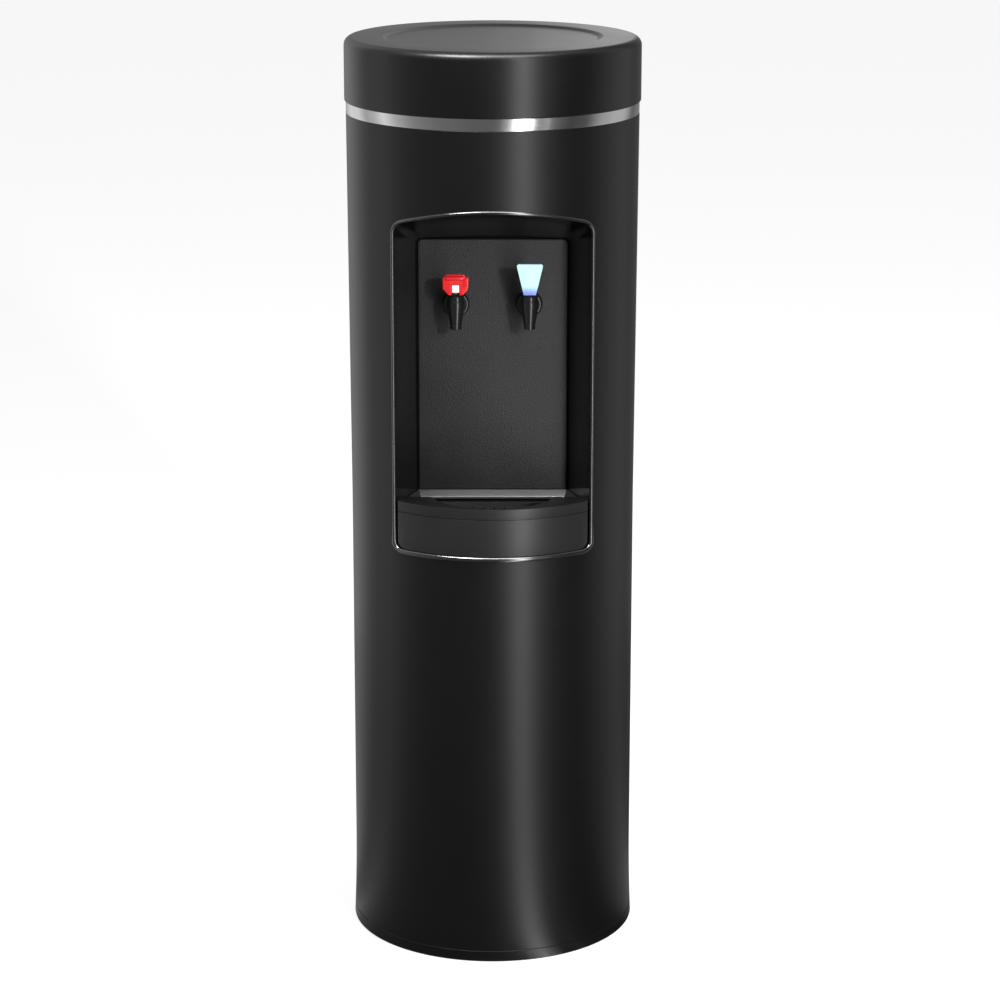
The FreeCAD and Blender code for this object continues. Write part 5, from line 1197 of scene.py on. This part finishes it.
def leverFoot(name, x):
    # Two cheeks on the pin and the web over the valve stem.
    front = -(paddle["face"] - paddle["thickness"] / 2)
    back = -paddle["back"]
    low = paddle["webTop"] - paddle["webThickness"]
    heel = -(faucet["pinOut"] - 0.003)
    parts = []
    for side in (-1, 1):
        outline = filleted([
            (front, paddle["bottom"] + 0.0006, 0.0005), (heel, paddle["bottom"] + 0.0006, 0.001),
            (heel, low - 0.001, 0.0008), (back, low - 0.001, 0.0006), (back, paddle["webTop"], 0.0012),
            (front, paddle["webTop"]),
        ], 4)
        cheek = between(name, outline, x + side * paddle["cheekInner"], x + side * paddle["cheekOuter"])
        parts.append(eased(cheek, 0.0003))
    web = brick(name, (x - paddle["cheekOuter"] + 0.0002, front, low),
                (x + paddle["cheekOuter"] - 0.0002, back - 0.0002, paddle["webTop"] - 0.0001))
    parts.append(eased(web, 0.0004, 2))
    return parts


def makeColdLever():
    x = faucet["x"]
    face, thick, bottom = paddle["face"], paddle["thickness"], paddle["bottom"]
    top, half, foot = paddle["coldTop"], paddle["coldHalf"], paddle["coldFoot"]
    outline = filleted([
        (x - foot, bottom, 0.001), (x + foot, bottom, 0.001), (x + half, top - 0.0015, 0.0022),
        (x + half - 0.0015, top, 0.0022), (x - half + 0.0015, top, 0.0022), (x - half, top - 0.0015, 0.0022),
    ], 6)
    blade = eased(standing("coldLever", outline, -face, thick - face), 0.0009, 3)
    parts = leverFoot("coldFoot", x)
    for middle in (x - paddle["ribAt"], x + paddle["ribAt"]):
        rib = brick("rib", (middle - paddle["ribHalf"], -face - paddle["ribProud"], bottom + paddle["ribFrom"]),
                    (middle + paddle["ribHalf"], -face + 0.001, bottom + paddle["ribTo"]))
        parts.append(eased(rib, 0.0003))
    body = shaded(joined("coldLever", blade, *parts))
    settle(body, "cold_lever", "cold_lever_plastic", "cold_lever")


def makeHotLever():
    x = -faucet["x"]
    face, thick = paddle["face"], paddle["thickness"]
    top, half, bottom = paddle["hotTop"], paddle["hotHalf"], paddle["bottom"]
    left, right = x - half, x + half
    outline = filleted([
        (left + 0.006, bottom, 0.0015), (right - 0.006, bottom, 0.0015), (right - 0.001, bottom + 0.005, 0.001),
        (right, bottom + 0.010, 0.001), (right, top - 0.0022, 0.0016), (right - 0.0035, top - 0.0028, 0.001),
        (right - 0.0048, top, 0.0014), (left + 0.004, top, 0.003), (left, top - 0.004, 0.002),
        (left, bottom + 0.007, 0.002),
    ], 5)
    hood = standing("hotLever", outline, -face, thick - face)
    reach, lintel = lock["half"] + lock["gap"], lock["bottom"] + lock["height"] + lock["gap"]
    window = brick("window", (x - reach, -face - 0.01, bottom - 0.001),
                   (x + reach, thick - face + 0.002, lintel))
    eased(carved(hood, window), 0.0007, 3)
    bar = filleted([
        (-face + 0.001, top - 0.006), (-face - 0.0018, top - 0.006, 0.0008),
        (-face - 0.003, top - 0.0046, 0.001), (-face - 0.003, top - 0.0025, 0.001),
        (-face + 0.001, top - 0.0008, 0.0008),
    ], 5)
    crest = eased(between("hotBar", bar, left + 0.0032, right - 0.0052), 0.0004)
    tab = filleted([
        (right - 0.0050, bottom + 0.0085), (right - 0.0003, bottom + 0.0105, 0.001),
        (right - 0.0003, top - 0.003, 0.001), (right - 0.0050, top - 0.0045, 0.001),
    ], 4)
    wing = eased(standing("hotTab", tab, -face - 0.0012, -face + 0.001), 0.0004)
    body = shaded(joined("hotLever", hood, crest, wing, *leverFoot("hotFoot", x)))
    settle(body, "hot_lever", "hot_lever_plastic", "hot_lever")
    half, low = lock["half"], lock["bottom"]
    button = brick("hotLock", (x - half, -face - lock["proud"], low),
                   (x + half, thick - face - 0.0004, low + lock["height"]))
    shapedBy(button, slots, count=2, start=(x, -face - lock["proud"], low + 0.0026), pitch=(0, 0, 0.0026),
             cutter=(2 * half + 0.002, 0.0008, 0.0006), finish=finishes["lock_plastic"])
    settle(shaded(eased(button, 0.0002, 2)), "hot_lock", "lock_plastic", "hot_lock_button")


makeFaucet("hot", -1)
makeFaucet("cold", 1)
makeFasteners()
makeColdLever()
makeHotLever()
print("faucets and levers made")


# Fittings and controls at the back

softening = {
    "service_plate": 0.0008, "control_plate": 0.0008, "power_inlet": 0.0003, "inlet_fitting": 0.0005,
    "drain_fitting": 0.0005, "drain_cap": 0.0004, "thermostat_knob": 0.0005, "rocker_case": 0.0003,
    "hot_rocker": 0.0004, "rear_screws": 0.0002, "relay_box": 0.001, "reservoir_cover": 0.0008,
}
bodyOf = {node: body for body, empty in frame["bodies"].items() for node, obj in frame["nodes"].items()
          if obj.parent == empty}


def makeFittings():
    for node, ease in softening.items():
        words = node.split("_")
        name = words[0] + "".join(word.capitalize() for word in words[1:])
        settle(softened(node, name, ease), bodyOf[node], slotOf[node], node)


makeFittings()
print("fittings and controls made")

for node, obj in frame["nodes"].items():
    obj.data.materials.clear()
    obj.data.materials.append(finishes[slotOf[node]])
